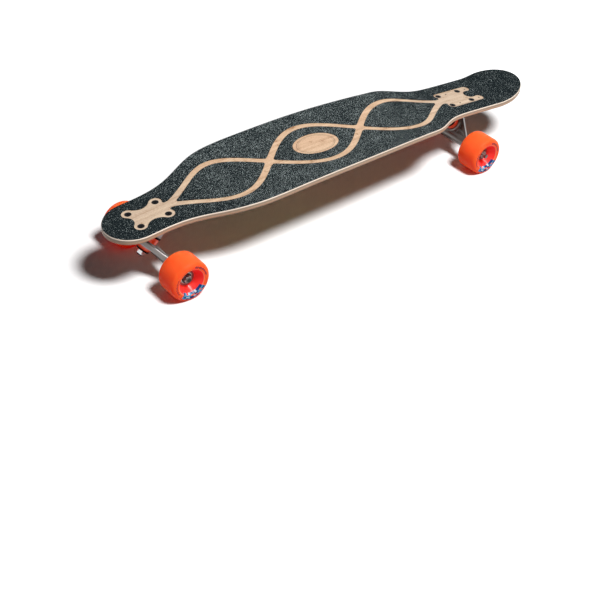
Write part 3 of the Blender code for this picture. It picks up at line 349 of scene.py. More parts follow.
def surface(x, y):
    """Height of the deck's top: an arch, straight pads, the kick, and rails raised between the pads."""
    slope = math.tan(PAD_ANGLE)
    off_middle = abs(x - MIDDLE_X)
    if off_middle <= ARCH_HALF_SPAN:
        height = PAD_HEIGHT + ARCH_HEIGHT - slope * off_middle**2 / (2 * ARCH_HALF_SPAN)
    else:
        height = PAD_HEIGHT - slope * (off_middle - WHEELBASE / 2)
    into_kick = REAR_X - KICK_START - x
    if into_kick > 0.0:
        turn = math.tan(KICK_ANGLE)
        bent = min(into_kick, KICK_LENGTH)
        height += turn * bent**2 / (2 * KICK_LENGTH) + turn * (into_kick - bent)
    concave = CONCAVE_DEPTH * smooth((ARCH_HALF_SPAN - off_middle) / CONCAVE_BLEND)
    return height + concave * (2 * y / DECK_WIDTH) ** 2


def steps(start, stop, longest):
    """Evenly spaced values from start to stop, both included."""
    count = max(1, math.ceil(abs(stop - start) / longest - 1e-9))
    return [start + (stop - start) * i / count for i in range(count + 1)]


def half_outline(inset):
    """Points of the left rail from the tail tip to the nose tip, drawn in by the inset."""
    tail_centre = TAIL_TIP_X + TAIL_ROUND
    nose_centre = NOSE_TIP_X - NOSE_ROUND
    angles = [math.pi / 2 * i / END_STEPS for i in range(END_STEPS)]
    xs = [tail_centre - TAIL_ROUND * math.cos(angle) for angle in angles]
    xs += steps(tail_centre, nose_centre, OUTLINE_STEP)
    xs += [nose_centre + NOSE_ROUND * math.cos(angle) for angle in reversed(angles)]
    points = [(x, half_width(x)) for x in xs]
    moved = []
    for i, (x, y) in enumerate(points):
        before = points[max(i - 1, 0)]
        after = points[min(i + 1, len(points) - 1)]
        along = Vector((after[0] - before[0], after[1] - before[1]))
        if i in (0, len(points) - 1):
            along = Vector((0.0, 1.0 if i == 0 else -1.0))
        along.normalize()
        moved.append((x + along.y * inset, y - along.x * inset))
    return moved


def lens_start(index):
    """Where the bands cross for the index-th time, from the tail forward."""
    rear, front = REAR_X + BAND_START, FRONT_X - BAND_START
    return rear + (front - rear) * index / LENS_COUNT


def band_edge(x, side):
    """Distance from the centre line of a band's outer (side 1) or inner (side -1) edge."""
    start, length = lens_start(0), lens_start(1) - lens_start(0)
    phase = math.pi * (x - start) / length
    swing = BAND_SHARE * half_width(x)
    middle = swing * math.sin(phase)
    off = BAND_WIDTH / 2 * math.hypot(1.0, swing * math.cos(phase) * math.pi / length)
    return math.hypot(middle, CORNER_EASE / 2) + off if side > 0 else abs(middle) - off


def arc(centre, radius, start, stop):
    """Points on a circle from one angle to another, both included."""
    angles = steps(start, stop, ARC_STEP)
    return [(centre[0] + radius * math.cos(a), centre[1] + radius * math.sin(a)) for a in angles]


def joining_radius(half_spacing, offset, radius):
    """Radius of the arc that joins two equal circles, its middle this far off their centres' line."""
    return (half_spacing**2 + offset**2 - radius**2) / (2 * (radius - offset))


def window_outline(front):
    """Left edge of the bare wood round the bolts, as (outboard, across) from the pattern's centre."""
    lobe = NOSE_LOBE_RADIUS if front else TAIL_LOBE_RADIUS
    along, across = BOLT_SPACING_LONG / 2, BOLT_SPACING_WIDE / 2
    reach = along if front else along + PILOT_SHIFT
    notch = joining_radius(across, WINDOW_END - reach, lobe)
    turn = math.atan2(across, reach - WINDOW_END - notch)
    points = arc((WINDOW_END + notch, 0.0), notch, math.pi, turn)
    waist = joining_radius(along, NOSE_WAIST - across, lobe)
    lean = math.atan2(NOSE_WAIST + waist - across, along) if front else math.pi / 2
    points += arc((reach, across), lobe, turn - math.pi, math.pi - lean)[1:]
    if front:
        points += arc((0.0, NOSE_WAIST + waist), waist, -lean, lean - math.pi)[1:-1]
    fork = -along - lobe
    for _ in range(8):
        level = band_edge(FRONT_X + fork if front else REAR_X - fork, 1) + FORK_EASE
        rise = across - level
        fork = -along - math.sqrt((lobe + FORK_EASE) ** 2 - rise**2)
    fork_turn = math.atan2(rise, -along - fork)
    points += arc((-along, across), lobe, lean, math.pi + fork_turn)
    return points + arc((fork, level), FORK_EASE, fork_turn, -math.pi / 2)[1:]


def lens_ends(index):
    """Where a lens panel's cut tips are, found by halving from its middle."""
    start, stop = lens_start(index), lens_start(index + 1)
    middle = (start + stop) / 2
    ends = []
    for outside in (start, stop):
        inside = middle
        for _ in range(30):
            half_way = (inside + outside) / 2
            wide = band_edge(half_way, -1) > LENS_BLUNT
            inside, outside = (half_way, outside) if wide else (inside, half_way)
        ends.append(inside)
    return ends


def medallion():
    """Middle, half length and half width of the bare oval in the middle panel."""
    start, stop = lens_ends(LENS_COUNT // 2)
    middle = (start + stop) / 2
    return middle, MEDALLION_LENGTH_SHARE * (stop - start) / 2, MEDALLION_WIDTH_SHARE * band_edge(middle, -1)


def frame_at(origin, z_axis, x_hint=(0.0, 1.0, 0.0)):
    """A matrix with its Z on z_axis and its X near x_hint."""
    z_axis = Vector(z_axis).normalized()
    y_axis = z_axis.cross(Vector(x_hint)).normalized()
    x_axis = y_axis.cross(z_axis)
    rotation = Matrix((x_axis, y_axis, z_axis)).transposed()
    return Matrix.Translation(origin) @ rotation.to_4x4()


def pad_matrix(end):
    """The frame of a truck pad: origin on the deck's top at the pattern's centre, X outboard."""
    x = FRONT_X if end == "front" else REAR_X
    turn = Matrix.Identity(4) if end == "front" else Matrix.Rotation(math.pi, 4, "Z")
    return Matrix.Translation((x, 0.0, PAD_HEIGHT)) @ turn @ Matrix.Rotation(PAD_ANGLE, 4, "Y")


def truck_matrix(end):
    """The frame of a truck, with its origin on the axle."""
    return pad_matrix(end) @ Matrix.Translation((-PATTERN_AHEAD, 0.0, -STACK))


def steer_matrix(end):
    """The frame of a steering axis: Z on the axis to the pivot, X along the axle, Y towards the deck."""
    x_axis = Vector((0.0, 1.0, 0.0))
    rotation = Matrix((x_axis, STEER.cross(x_axis), STEER)).transposed()
    return truck_matrix(end) @ Matrix.Translation(RING) @ rotation.to_4x4()


def kingpin_matrix(end):
    """The frame of a kingpin: origin in the ring's middle, Z to the nut."""
    return truck_matrix(end) @ frame_at(RING, KINGPIN)


def wheel_matrix(end, side):
    """The frame of a wheel: origin between its bearings, Z outboard along the axle, X up."""
    steer = steer_matrix(end)
    up = steer.to_3x3().inverted() @ Vector((0.0, 0.0, 1.0))
    return steer @ frame_at((side * WHEEL_Y, RING_ACROSS, -RING_ALONG), (side, 0.0, 0.0), up)


def hand(end, side):
    """left or right, for a side of 1 towards the truck's own +Y."""
    return "left" if (side > 0) == (end == "front") else "right"


def pattern_places():
    """Bolt places about a pattern's centre."""
    return [(sx * BOLT_SPACING_LONG / 2, sy * BOLT_SPACING_WIDE / 2) for sx in (-1, 1) for sy in (-1, 1)]


def turned(profile, segments, matrix=None):
    """Turns a closed profile about Z. Its points are (radius, height) or (radius, height, rounding)."""
    bm = bmesh.new()
    verts = [bm.verts.new((point[0], 0.0, point[1])) for point in profile]
    for pair in zip(verts, verts[1:] + verts[:1]):
        if max(pair[0].co.x, pair[1].co.x) > 1e-7:
            bm.edges.new(pair)
    for size in sorted({point[2] for point in profile if len(point) > 2}):
        corners = [vert for vert, point in zip(verts, profile) if len(point) > 2 and point[2] == size]
        round_off(bm, corners, size, 4, "VERTICES")
    bmesh.ops.spin(
        bm,
        geom=bm.verts[:] + bm.edges[:],
        cent=(0.0, 0.0, 0.0),
        axis=(0.0, 0.0, 1.0),
        angle=2 * math.pi,
        steps=segments,
        use_merge=True,
    )
    bmesh.ops.remove_doubles(bm, verts=bm.verts, dist=1e-7)
    bmesh.ops.recalc_face_normals(bm, faces=bm.faces)
    if matrix is not None:
        bmesh.ops.transform(bm, matrix=matrix, verts=bm.verts)
    return bm


def round_off(bm, geom, size, segments, affect="EDGES"):
    bmesh.ops.bevel(
        bm, geom=geom, offset=size, segments=segments, profile=0.5, affect=affect, material=-1, clamp_overlap=True
    )


def sharp_edges(bm, degrees=50):
    return [edge for edge in bm.edges if edge.calc_face_angle(0.0) > math.radians(degrees)]


def extruded(points, bottom, top, rim=0.0, rim_segments=1):
    """A flat outline of (x, y) points extruded, with its upper and lower rims rounded."""
    bm = bmesh.new()
    face = bm.faces.new([bm.verts.new((x, y, bottom)) for x, y in points])
    moved = bmesh.ops.extrude_face_region(bm, geom=[face])["geom"]
    verts = [item for item in moved if isinstance(item, bmesh.types.BMVert)]
    bmesh.ops.translate(bm, verts=verts, vec=(0.0, 0.0, top - bottom))
    bmesh.ops.recalc_face_normals(bm, faces=bm.faces)
    if rim:
        rims = [edge for edge in bm.edges if abs(edge.verts[0].co.z - edge.verts[1].co.z) < 1e-7]
        round_off(bm, rims, rim, rim_segments)
    return bm


def rounded_box(x_span, y_span, z_span, corner, segments=6):
    """A block with its upright corners rounded."""
    bm = bmesh.new()
    verts = [bm.verts.new((x, y, z_span[0])) for x, y in zip(x_span + x_span[::-1], sorted(y_span * 2))]
    face = bm.faces.new(verts)
    round_off(bm, verts, corner, segments, "VERTICES")
    moved = bmesh.ops.extrude_face_region(bm, geom=bm.faces[:])["geom"]
    raised = [item for item in moved if isinstance(item, bmesh.types.BMVert)]
    bmesh.ops.translate(bm, verts=raised, vec=(0.0, 0.0, z_span[1] - z_span[0]))
    bmesh.ops.recalc_face_normals(bm, faces=bm.faces)
    return bm


def cylinder(radius, bottom, top, segments, matrix=None, tip_radius=None):
    bm = bmesh.new()
    bmesh.ops.create_cone(
        bm,
        cap_ends=True,
        segments=segments,
        radius1=radius,
        radius2=radius if tip_radius is None else tip_radius,
        depth=top - bottom,
        matrix=(matrix or Matrix.Identity(4)) @ Matrix.Translation((0.0, 0.0, (top + bottom) / 2)),
    )
    return bm


def joined(parts):
    """One bmesh that holds all the parts."""
    whole = bmesh.new()
    for part in parts:
        mesh = bpy.data.meshes.new("part")
        part.to_mesh(mesh)
        part.free()
        whole.from_mesh(mesh)
        bpy.data.meshes.remove(mesh)
    return whole


def loose(bm):
    """A scene object that holds the bmesh while modifiers work on it."""
    mesh = bpy.data.meshes.new("loose")
    bm.to_mesh(mesh)
    bm.free()
    obj = bpy.data.objects.new("loose", mesh)
    bpy.context.scene.collection.objects.link(obj)
    return obj


def settled(obj, tools=()):
    """The bmesh that an object's modifiers give. The object and its tools are used up."""
    bpy.context.view_layer.update()
    graph = bpy.context.evaluated_depsgraph_get()
    bm = bmesh.new()
    bm.from_mesh(obj.evaluated_get(graph).to_mesh())
    for used in (obj, *tools):
        mesh = used.data
        bpy.data.objects.remove(used)
        bpy.data.meshes.remove(mesh)
    return bm


def add_boolean(obj, tool, operation, overlapping=False):
    modifier = obj.modifiers.new("cut", "BOOLEAN")
    modifier.solver = "EXACT"
    modifier.operation = operation
    modifier.use_self = overlapping
    modifier.object = tool


def carved(bm, tool, operation="DIFFERENCE"):
    """The bmesh with the tool cut away, or kept where the operation says so."""
    obj, other = loose(bm), loose(tool)
    add_boolean(obj, other, operation)
    return settled(obj, [other])


def cast(solids, hollows, bores, softening):
    """A casting: overlapping solids made one and hollowed, softened all over, then bored."""
    obj, hollow, bore = loose(joined(solids)), loose(joined(hollows)), loose(joined(bores))
    add_boolean(obj, hollow, "DIFFERENCE", overlapping=True)
    remesh = obj.modifiers.new("remesh", "REMESH")
    remesh.mode = "VOXEL"
    remesh.voxel_size = VOXEL
    smoothing = obj.modifiers.new("smooth", "SMOOTH")
    smoothing.iterations = softening
    smoothing.factor = 0.5
    thinning = obj.modifiers.new("thin", "DECIMATE")
    thinning.ratio = 0.4
    add_boolean(obj, bore, "DIFFERENCE")
    return settled(obj, [hollow, bore])


def mark(bm, name, place):
    """Keeps a place worked out from each point's coordinates, for a pattern that follows the surface."""
    layer = bm.verts.layers.float_vector.new(name)
    for vert in bm.verts:
        vert[layer] = place(vert.co)


def finish_piece(name, bm, material, body, replaced, place=None, crease=38):
    """Makes the bmesh a piece at the origin that rides on a body and stands for CAD nodes."""
    if place is not None:
        bmesh.ops.transform(bm, matrix=place, verts=bm.verts)
        if place.determinant() < 0:
            bmesh.ops.reverse_faces(bm, faces=bm.faces)
    mesh = bpy.data.meshes.new(name)
    bm.to_mesh(mesh)
    bm.free()
    mesh.materials.append(material)
    mesh.shade_smooth()
    mesh.set_sharp_from_angle(angle=math.radians(crease))
    piece = bpy.data.objects.new(name, mesh)
    bpy.context.scene.collection.objects.link(piece)
    if body:
        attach(piece, body)
    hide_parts(*replaced)
    return piece


class Shading:
    """Adds nodes to a shader tree. Values given for inputs are sockets, numbers or colours."""

    def __init__(self, tree):
        self.tree = tree

    def set(self, node, inputs):
        for name, value in inputs.items():
            if isinstance(value, bpy.types.NodeSocket):
                self.tree.links.new(value, node.inputs[name])
            else:
                node.inputs[name].default_value = value
        return node

    def add(self, kind, inputs=None, **settings):
        node = self.tree.nodes.new("ShaderNode" + kind)
        for name, value in settings.items():
            setattr(node, name, value)
        return self.set(node, inputs or {})

    def math(self, operation, *values, clamp=False):
        return self.add("Math", dict(enumerate(values)), operation=operation, use_clamp=clamp).outputs[0]

    def step(self, value, low, high):
        """0 below low, 1 above high, eased between; the other way round if low is the larger."""
        inputs = {"Value": value, "From Min": min(low, high), "From Max": max(low, high)}
        if low > high:
            inputs |= {"To Min": 1.0, "To Max": 0.0}
        return self.add("MapRange", inputs, interpolation_type="SMOOTHSTEP").outputs["Result"]

    def mix(self, share, first, second, blend="MIX"):
        """A colour between two."""
        inputs = {0: share, 6: opaque(first), 7: opaque(second)}
        return self.add("Mix", inputs, data_type="RGBA", blend_type=blend).outputs[2]

    def scaled(self, vector, scale):
        return self.add("Mapping", {"Vector": vector, "Scale": scale}).outputs[0]

    def noise(self, vector, scale, detail=2.0, roughness=0.5):
        inputs = {"Vector": vector, "Scale": scale, "Detail": detail, "Roughness": roughness}
        return self.add("TexNoise", inputs).outputs["Fac"]

    def split(self, vector):
        return self.add("SeparateXYZ", {0: vector}).outputs

    def group(self, tree, inputs):
        return self.set(self.add("Group", node_tree=tree), inputs)


def opaque(colour):
    """A four-part colour from a three-part one; a socket is left as it is."""
    if isinstance(colour, bpy.types.NodeSocket) or len(colour) == 4:
        return colour
    return (*colour, 1.0)


def new_group(name, inputs, outputs):
    """A shader node group with named sockets, given as (name, kind, default) and (name, kind)."""
    tree = bpy.data.node_groups.new(name, "ShaderNodeTree")
    for label, kind, default in inputs:
        socket = tree.interface.new_socket(name=label, in_out="INPUT", socket_type="NodeSocket" + kind)
        if default is not None:
            socket.default_value = default
    for label, kind in outputs:
        tree.interface.new_socket(name=label, in_out="OUTPUT", socket_type="NodeSocket" + kind)
    shading = Shading(tree)
    given = tree.nodes.new("NodeGroupInput")
    result = tree.nodes.new("NodeGroupOutput")
    return tree, shading, given.outputs, result


def new_material(name):
    """A material and its shading, with the surface shader."""
    material = bpy.data.materials.new(name)
    material.use_nodes = True
    shading = Shading(material.node_tree)
    return material, shading, material.node_tree.nodes["Principled BSDF"]


def object_place(shading):
    return shading.add("TexCoord").outputs["Object"]


def edge_highlight_shade_wear_group():
    """Brighter outer edges, partly wear and partly painted highlight, and darker hollows in painted shade, broken up by
    noise.
    """
    name = "edge_wear"
    if name in bpy.data.node_groups:
        return bpy.data.node_groups[name]
    tree, s, given, result = new_group(
        name,
        [("Vector", "Vector", None), ("Scale", "Float", 400.0), ("Reach", "Float", 0.06)],
        [("Edge", "Float"), ("Hollow", "Float")],
    )
    pointiness = s.add("NewGeometry").outputs["Pointiness"]
    broken = s.math("MULTIPLY_ADD", s.noise(given["Vector"], given["Scale"], 3.0), 0.04, -0.02)
    value = s.math("ADD", pointiness, broken)
    edge = s.add("MapRange", {"Value": value, "From Min": 0.52, "From Max": s.math("ADD", 0.52, given["Reach"])})
    hollow = s.add("MapRange", {"Value": value, "From Min": 0.48, "From Max": s.math("SUBTRACT", 0.48, given["Reach"])})
    s.set(result, {"Edge": edge.outputs["Result"], "Hollow": hollow.outputs["Result"]})
    return tree


def bamboo_group():
    """Bamboo strips side by side, with fine fibres and the dark knuckles of the cane."""
    name = "bamboo"
    if name in bpy.data.node_groups:
        return bpy.data.node_groups[name]
    tree, s, given, result = new_group(
        name,
        [
            ("Vector", "Vector", None),
            ("Strip Width", "Float", 0.006),
            ("Contrast", "Float", 1.0),
            ("Wood", "Color", (0.7, 0.5, 0.3, 1.0)),
        ],
        [("Color", "Color"), ("Height", "Float")],
    )
    along, across, _ = s.split(given["Vector"])
    place = s.math("DIVIDE", across, given["Strip Width"])
    strip = s.math("FLOOR", place)
    inside = s.math("FRACT", place)
    tone = s.add("TexWhiteNoise", {"W": strip}, noise_dimensions="1D")
    shift = s.add("TexWhiteNoise", {"W": s.math("ADD", strip, 57.3)}, noise_dimensions="1D")
    piece = s.math("FLOOR", s.math("ADD", s.math("DIVIDE", along, 0.61), s.math("MULTIPLY", tone.outputs[0], 7.0)))
    piece_tone = s.add("TexWhiteNoise", {"W": s.math("MULTIPLY_ADD", piece, 13.7, strip)}, noise_dimensions="1D")
    fibres = s.noise(s.scaled(given["Vector"], (14.0, 1500.0, 900.0)), 1.0, 3.0, 0.6)
    streaks = s.noise(s.scaled(given["Vector"], (5.0, 330.0, 200.0)), 1.0, 3.0, 0.55)
    mottle = s.math("MULTIPLY_ADD", s.noise(s.scaled(given["Vector"], (260.0, 480.0, 480.0)), 1.0, 2.0), 1.3, -0.65)
    stain = s.step(s.noise(s.scaled(given["Vector"], (16.0, 120.0, 120.0)), 1.0, 2.0), 0.50, 0.78)
    cell = s.math("FRACT", s.math("MULTIPLY_ADD", along, 1 / 0.235, shift.outputs[0]))
    wander = s.math("MULTIPLY_ADD", s.noise(given["Vector"], 260.0, 1.0), 0.05, 0.475)
    off_knuckle = s.math("ABSOLUTE", s.math("SUBTRACT", cell, wander))
    knuckle = s.step(off_knuckle, 0.011, 0.003)
    halo = s.math("MULTIPLY", s.step(off_knuckle, 0.055, 0.010), 0.35)
    seam = s.step(s.math("ABSOLUTE", s.math("SUBTRACT", inside, 0.5)), 0.455, 0.50)
    dark = s.math("MULTIPLY_ADD", s.step(streaks, 0.50, 0.80), 0.45, s.math("MULTIPLY", s.step(fibres, 0.45, 0.8), 0.25))
    dark = s.math("ADD", dark, s.math("MULTIPLY", knuckle, 0.42))
    dark = s.math("ADD", dark, s.math("MULTIPLY", halo, 0.5))
    dark = s.math("ADD", dark, s.math("MULTIPLY", seam, 0.28))
    dark = s.math("ADD", dark, s.math("MULTIPLY", piece_tone.outputs[0], 0.30))
    dark = s.math("ADD", dark, s.math("MULTIPLY_ADD", stain, 0.45, mottle))
    dark = s.math("MULTIPLY", s.math("SUBTRACT", dark, 0.02), given["Contrast"], clamp=True)
    shade = s.mix(1.0, given["Wood"], (0.50, 0.34, 0.22), "MULTIPLY")
    light = s.mix(s.math("MULTIPLY", tone.outputs[0], 0.22), given["Wood"], (0.98, 0.80, 0.56))
    height = s.math("MULTIPLY_ADD", fibres, -0.3, s.math("MULTIPLY", seam, -0.7))
    s.set(result, {"Color": s.mix(dark, light, shade), "Height": height})
    return tree


def deck_material(settings):
    """Bamboo: pale above, plies in the rail, and varnished below with printed rings and discs."""
    material, s, shader = new_material("bamboo_deck")
    laid = s.add("Attribute", attribute_name="laid", attribute_type="GEOMETRY").outputs["Vector"]
    along, across, depth = s.split(laid)
    down = s.math("MULTIPLY", depth, -1000.0)
    values = {"Vector": laid, "Strip Width": settings.strip_width}
    off_middle = s.math("ABSOLUTE", s.math("SUBTRACT", along, MIDDLE_X))
    wood = s.mix(s.step(off_middle, 0.20, 0.33), settings.top_wood, settings.end_wood)
    top = s.group(bamboo_group(), values | {"Contrast": 0.95, "Wood": wood})
    under = s.group(bamboo_group(), values | {"Contrast": 1.0, "Wood": opaque(settings.under_wood)})
    is_top = s.step(down, 0.12, 0.04)
    is_under = s.step(down, 9.45, 9.60)
    wander = s.math("MULTIPLY_ADD", s.noise(laid, 22.0, 2.0), 0.30, -0.15)
    ply = s.math("ADD", down, wander)
    lines = None
    for level, width in ((1.60, 0.12), (5.10, 0.12), (7.00, 0.09), (8.70, 0.12)):
        line = s.step(s.math("ABSOLUTE", s.math("SUBTRACT", ply, level)), width * 1.6, width * 0.6)
        lines = line if lines is None else s.math("MAXIMUM", lines, line)
    grain = s.noise(s.scaled(laid, (60.0, 60.0, 1800.0)), 1.0, 3.0, 0.6)
    plies = s.mix(s.math("MULTIPLY", grain, 0.35), settings.edge_wood, (0.42, 0.28, 0.17))
    core = s.step(s.math("ABSOLUTE", s.math("SUBTRACT", ply, 3.4)), 1.60, 1.30)
    plies = s.mix(s.math("MULTIPLY", core, 0.65), plies, (0.20, 0.13, 0.08))
    # Painted shade: the rail darkens and warms below its middle ply, and darkens most along the bottom ply, where the
    # underside's edge is shaded.
    plies = s.mix(s.math("MULTIPLY", s.step(ply, 5.0, 5.2), 0.85), plies, (0.50, 0.30, 0.17))
    plies = s.mix(s.math("MULTIPLY", s.step(ply, 8.8, 9.0), 0.6), plies, (0.28, 0.16, 0.08))
    plies = s.mix(s.step(ply, 1.55, 1.35), plies, (0.80, 0.68, 0.56))
    plies = s.mix(s.math("MULTIPLY", lines, 0.6), plies, (0.24, 0.13, 0.07))
    printed = printed_underside(s, laid, under.outputs["Color"], settings)
    wood = s.mix(is_top, plies, medallion_ring(s, along, across, top.outputs["Color"]))
    colour = s.mix(is_under, wood, printed)
    # Painted shadow, partly grime: dark rings round the holes.
    colour = s.mix(hole_rim_grime_and_shadow(s, along, across), colour, (0.020, 0.013, 0.010))
    height = s.math("MULTIPLY", top.outputs["Height"], is_top)
    bump = s.add("Bump", {"Height": height, "Strength": 0.25, "Distance": 0.0002})
    roughness = s.math("MULTIPLY_ADD", is_under, -0.20, 0.48)
    coat = s.math("MULTIPLY", is_under, 0.85)
    s.set(shader, {"Base Color": colour, "Roughness": roughness, "Coat Weight": coat, "Normal": bump.outputs[0]})
    s.set(shader, {"Coat Roughness": 0.09, "Coat IOR": 1.5})
    return material


def hole_rim_grime_and_shadow(s, along, across):
    """The dark rings round the bolt holes and pilot holes, partly grime on the drilled edges and partly painted shadow
    of the countersinks.
    """
    dark = None
    side = s.math("SUBTRACT", s.math("ABSOLUTE", across), BOLT_SPACING_WIDE / 2)
    for middle, radius in ((FRONT_X, 0.0062), (REAR_X, 0.0062), (REAR_X - PILOT_SHIFT, 0.0017)):
        off = s.math("ABSOLUTE", s.math("SUBTRACT", along, middle))
        off = s.add("CombineXYZ", {"X": s.math("SUBTRACT", off, BOLT_SPACING_LONG / 2), "Y": side})
        out = s.add("VectorMath", {0: off.outputs[0]}, operation="LENGTH").outputs["Value"]
        ring = s.step(out, radius + 0.0003, radius - 0.0002)
        dark = ring if dark is None else s.math("MAXIMUM", dark, ring)
    return dark


def medallion_ring(s, along, across, wood):
    """A thin scorched line inside the bare oval."""
    middle, length, width = medallion()
    off = s.add("CombineXYZ", {
        "X": s.math("DIVIDE", s.math("SUBTRACT", along, middle), length),
        "Y": s.math("DIVIDE", across, width),
    })
    out = s.add("VectorMath", {0: off.outputs[0]}, operation="LENGTH").outputs["Value"]
    colour = wood
    for level, half in ((0.84, 0.011), (0.775, 0.005)):
        ring = s.step(s.math("ABSOLUTE", s.math("SUBTRACT", out, level)), half * 1.5, half)
        colour = s.mix(s.math("MULTIPLY", ring, 0.8), colour, (0.16, 0.075, 0.035))
    return colour


def printed_underside(s, laid, wood, settings):
    """The underside's print: brown ripple rings towards the tail and three green discs towards the nose."""
    along = s.split(laid)[0]
    flat = s.scaled(laid, (1.0, 1.0, 0.0))
    bend = s.math("MULTIPLY_ADD", s.noise(flat, 11.0, 2.0, 0.6), 0.075, -0.037)
    fray = s.math("MULTIPLY_ADD", s.noise(flat, 95.0, 2.0), 0.004, -0.002)
    centre = s.add("VectorMath", {0: flat, 1: (-0.165, 0.012, 0.0)}, operation="DISTANCE").outputs["Value"]
    ripple = s.math("ADD", s.math("ADD", centre, bend), fray)
    band = s.math("PINGPONG", ripple, 0.0070)
    thick = s.math("MULTIPLY_ADD", s.noise(flat, 24.0, 1.0), 0.0030, 0.0006)
    rings = s.step(s.math("SUBTRACT", band, thick), 0.0004, 0.0)
    broken = s.step(s.noise(flat, 34.0, 2.0, 0.7), 0.36, 0.42)
    fade = s.math("MULTIPLY", s.step(along, 0.045, -0.03), s.step(along, -0.43, -0.36))
    rings = s.math("MULTIPLY", s.math("MULTIPLY", rings, broken), fade)
    speckle = s.step(s.noise(s.scaled(laid, (900.0, 900.0, 0.0)), 1.0, 1.0), 0.30, 0.45)
    colour = s.mix(s.math("MULTIPLY", rings, s.math("MULTIPLY_ADD", speckle, 0.2, 0.75)), wood, settings.brown_print)
    for place, radius in (((0.105, 0.040, 0.0), 0.045), ((0.185, -0.042, 0.0), 0.043), ((0.262, 0.024, 0.0), 0.034)):
        out = s.add("VectorMath", {0: flat, 1: place}, operation="DISTANCE").outputs["Value"]
        disc = s.step(s.math("ADD", out, fray), radius + 0.0003, radius - 0.0003)
        bands = s.math("PINGPONG", s.math("ADD", out, s.math("MULTIPLY", bend, 0.35)), 0.0052)
        pale = s.step(bands, 0.0010, 0.0006)
        rim = s.step(s.math("ABSOLUTE", s.math("SUBTRACT", out, radius + 0.0045)), 0.0011, 0.0007)
        green = s.mix(s.noise(flat, 60.0, 3.0), settings.green_print, (0.16, 0.36, 0.09))
        green = s.mix(s.math("MULTIPLY", pale, 0.8), green, (0.62, 0.52, 0.26))
        colour = s.mix(s.math("MULTIPLY", disc, 0.93), colour, green)
        colour = s.mix(s.math("MULTIPLY", rim, 0.85), colour, (0.12, 0.28, 0.06))
    return colour


def grip_material(settings):
    """Abrasive sheet: dark slate with grit that glints."""
    material, s, shader = new_material("grip_sheet")
    place = object_place(s)
    size = settings.grit_size
    grit = s.add("TexVoronoi", {"Vector": place, "Scale": 1.0 / size, "Randomness": 1.0})
    tone, other_tone, _ = s.split(grit.outputs["Color"])
    clump = s.math("MULTIPLY_ADD", s.noise(place, 0.60 / size, 1.0), 2.4, -1.2)
    cloud = s.math("MULTIPLY_ADD", s.noise(place, 34.0, 3.0, 0.6), 0.4, -0.20)
    off_middle = s.math("ABSOLUTE", s.math("SUBTRACT", s.split(place)[0], MIDDLE_X))
    # Painted sheen: more grains glint towards the middle of the deck and fewer towards its ends.
    middle_sheen = s.math("MULTIPLY_ADD", s.step(off_middle, 0.40, 0.15), 0.16, -0.17)
    chance = s.math("ADD", s.math("ADD", tone, clump), s.math("ADD", cloud, middle_sheen))
    glint = s.step(chance, 0.90, 1.05)
    base = s.mix(other_tone, settings.grip_colour, [channel * 1.8 for channel in settings.grip_colour])
    colour = s.mix(s.math("MULTIPLY", glint, 0.85), base, (0.50, 0.57, 0.56))
    bump = s.add("Bump", {"Height": grit.outputs["Distance"], "Strength": 0.4, "Distance": 0.0002}, invert=True)
    roughness = s.math("MULTIPLY_ADD", glint, -0.30, 0.72)
    s.set(shader, {"Base Color": colour, "Roughness": roughness, "Normal": bump.outputs[0]})
    s.set(shader, {"IOR": 1.14})
    return material


def cast_material(name, colour, roughness, grain, wear, metallic):
    """Metal as cast and tumbled, brighter along its edges, partly from wear and partly as a painted highlight, and
    darker in its hollows as painted shade.
    """
    material, s, shader = new_material(name)
    place = object_place(s)
    wear_highlight_shade = s.group(edge_highlight_shade_wear_group(), {"Vector": place, "Scale": 350.0, "Reach": 0.07})
    clouds = s.noise(place, 55.0, 4.0, 0.6)
    pits = s.noise(place, 1500.0, 3.0, 0.65)
    tone = s.mix(clouds, [channel * 0.86 for channel in colour], [min(channel * 1.12, 1.0) for channel in colour])
    # Painted highlight, partly wear: the edges are lighter.
    tone = s.mix(s.math("MULTIPLY", wear_highlight_shade.outputs["Edge"], wear), tone, (0.82, 0.82, 0.83))
    # Painted shade: the hollows are darker.
    tone = s.mix(s.math("MULTIPLY", wear_highlight_shade.outputs["Hollow"], 0.55), tone, [channel * 0.35 for channel in colour])
    rough = s.math("MULTIPLY_ADD", clouds, 0.16, roughness - 0.08)
    rough = s.math("MULTIPLY_ADD", wear_highlight_shade.outputs["Edge"], -0.10, rough)
    bump = s.add("Bump", {"Height": pits, "Strength": grain, "Distance": 0.00015})
    s.set(shader, {"Base Color": tone, "Roughness": rough, "Metallic": metallic, "Normal": bump.outputs[0]})
    return material


def plated_material(name, colour, roughness, metallic=1.0, ior=1.5, edge=0.45):
    """Smooth metal with faint handling marks, its edges brighter by so much, partly wear and partly a painted
    highlight.
    """
    material, s, shader = new_material(name)
    place = object_place(s)
    wear_highlight_shade = s.group(edge_highlight_shade_wear_group(), {"Vector": place, "Scale": 900.0, "Reach": 0.09})
    marks = s.noise(place, 420.0, 4.0, 0.7)
    tone = s.mix(marks, [channel * 0.8 for channel in colour], colour)
    bright = [min(channel + edge, 0.9) for channel in colour]
    # Painted highlight, partly wear: the edges are lighter.
    tone = s.mix(s.math("MULTIPLY", wear_highlight_shade.outputs["Edge"], 0.7), tone, bright)
    rough = s.math("MULTIPLY_ADD", marks, 0.16, roughness - 0.06)
    s.set(shader, {"Base Color": tone, "Roughness": rough, "Metallic": metallic})
    s.set(shader, {"IOR": ior})
    return material


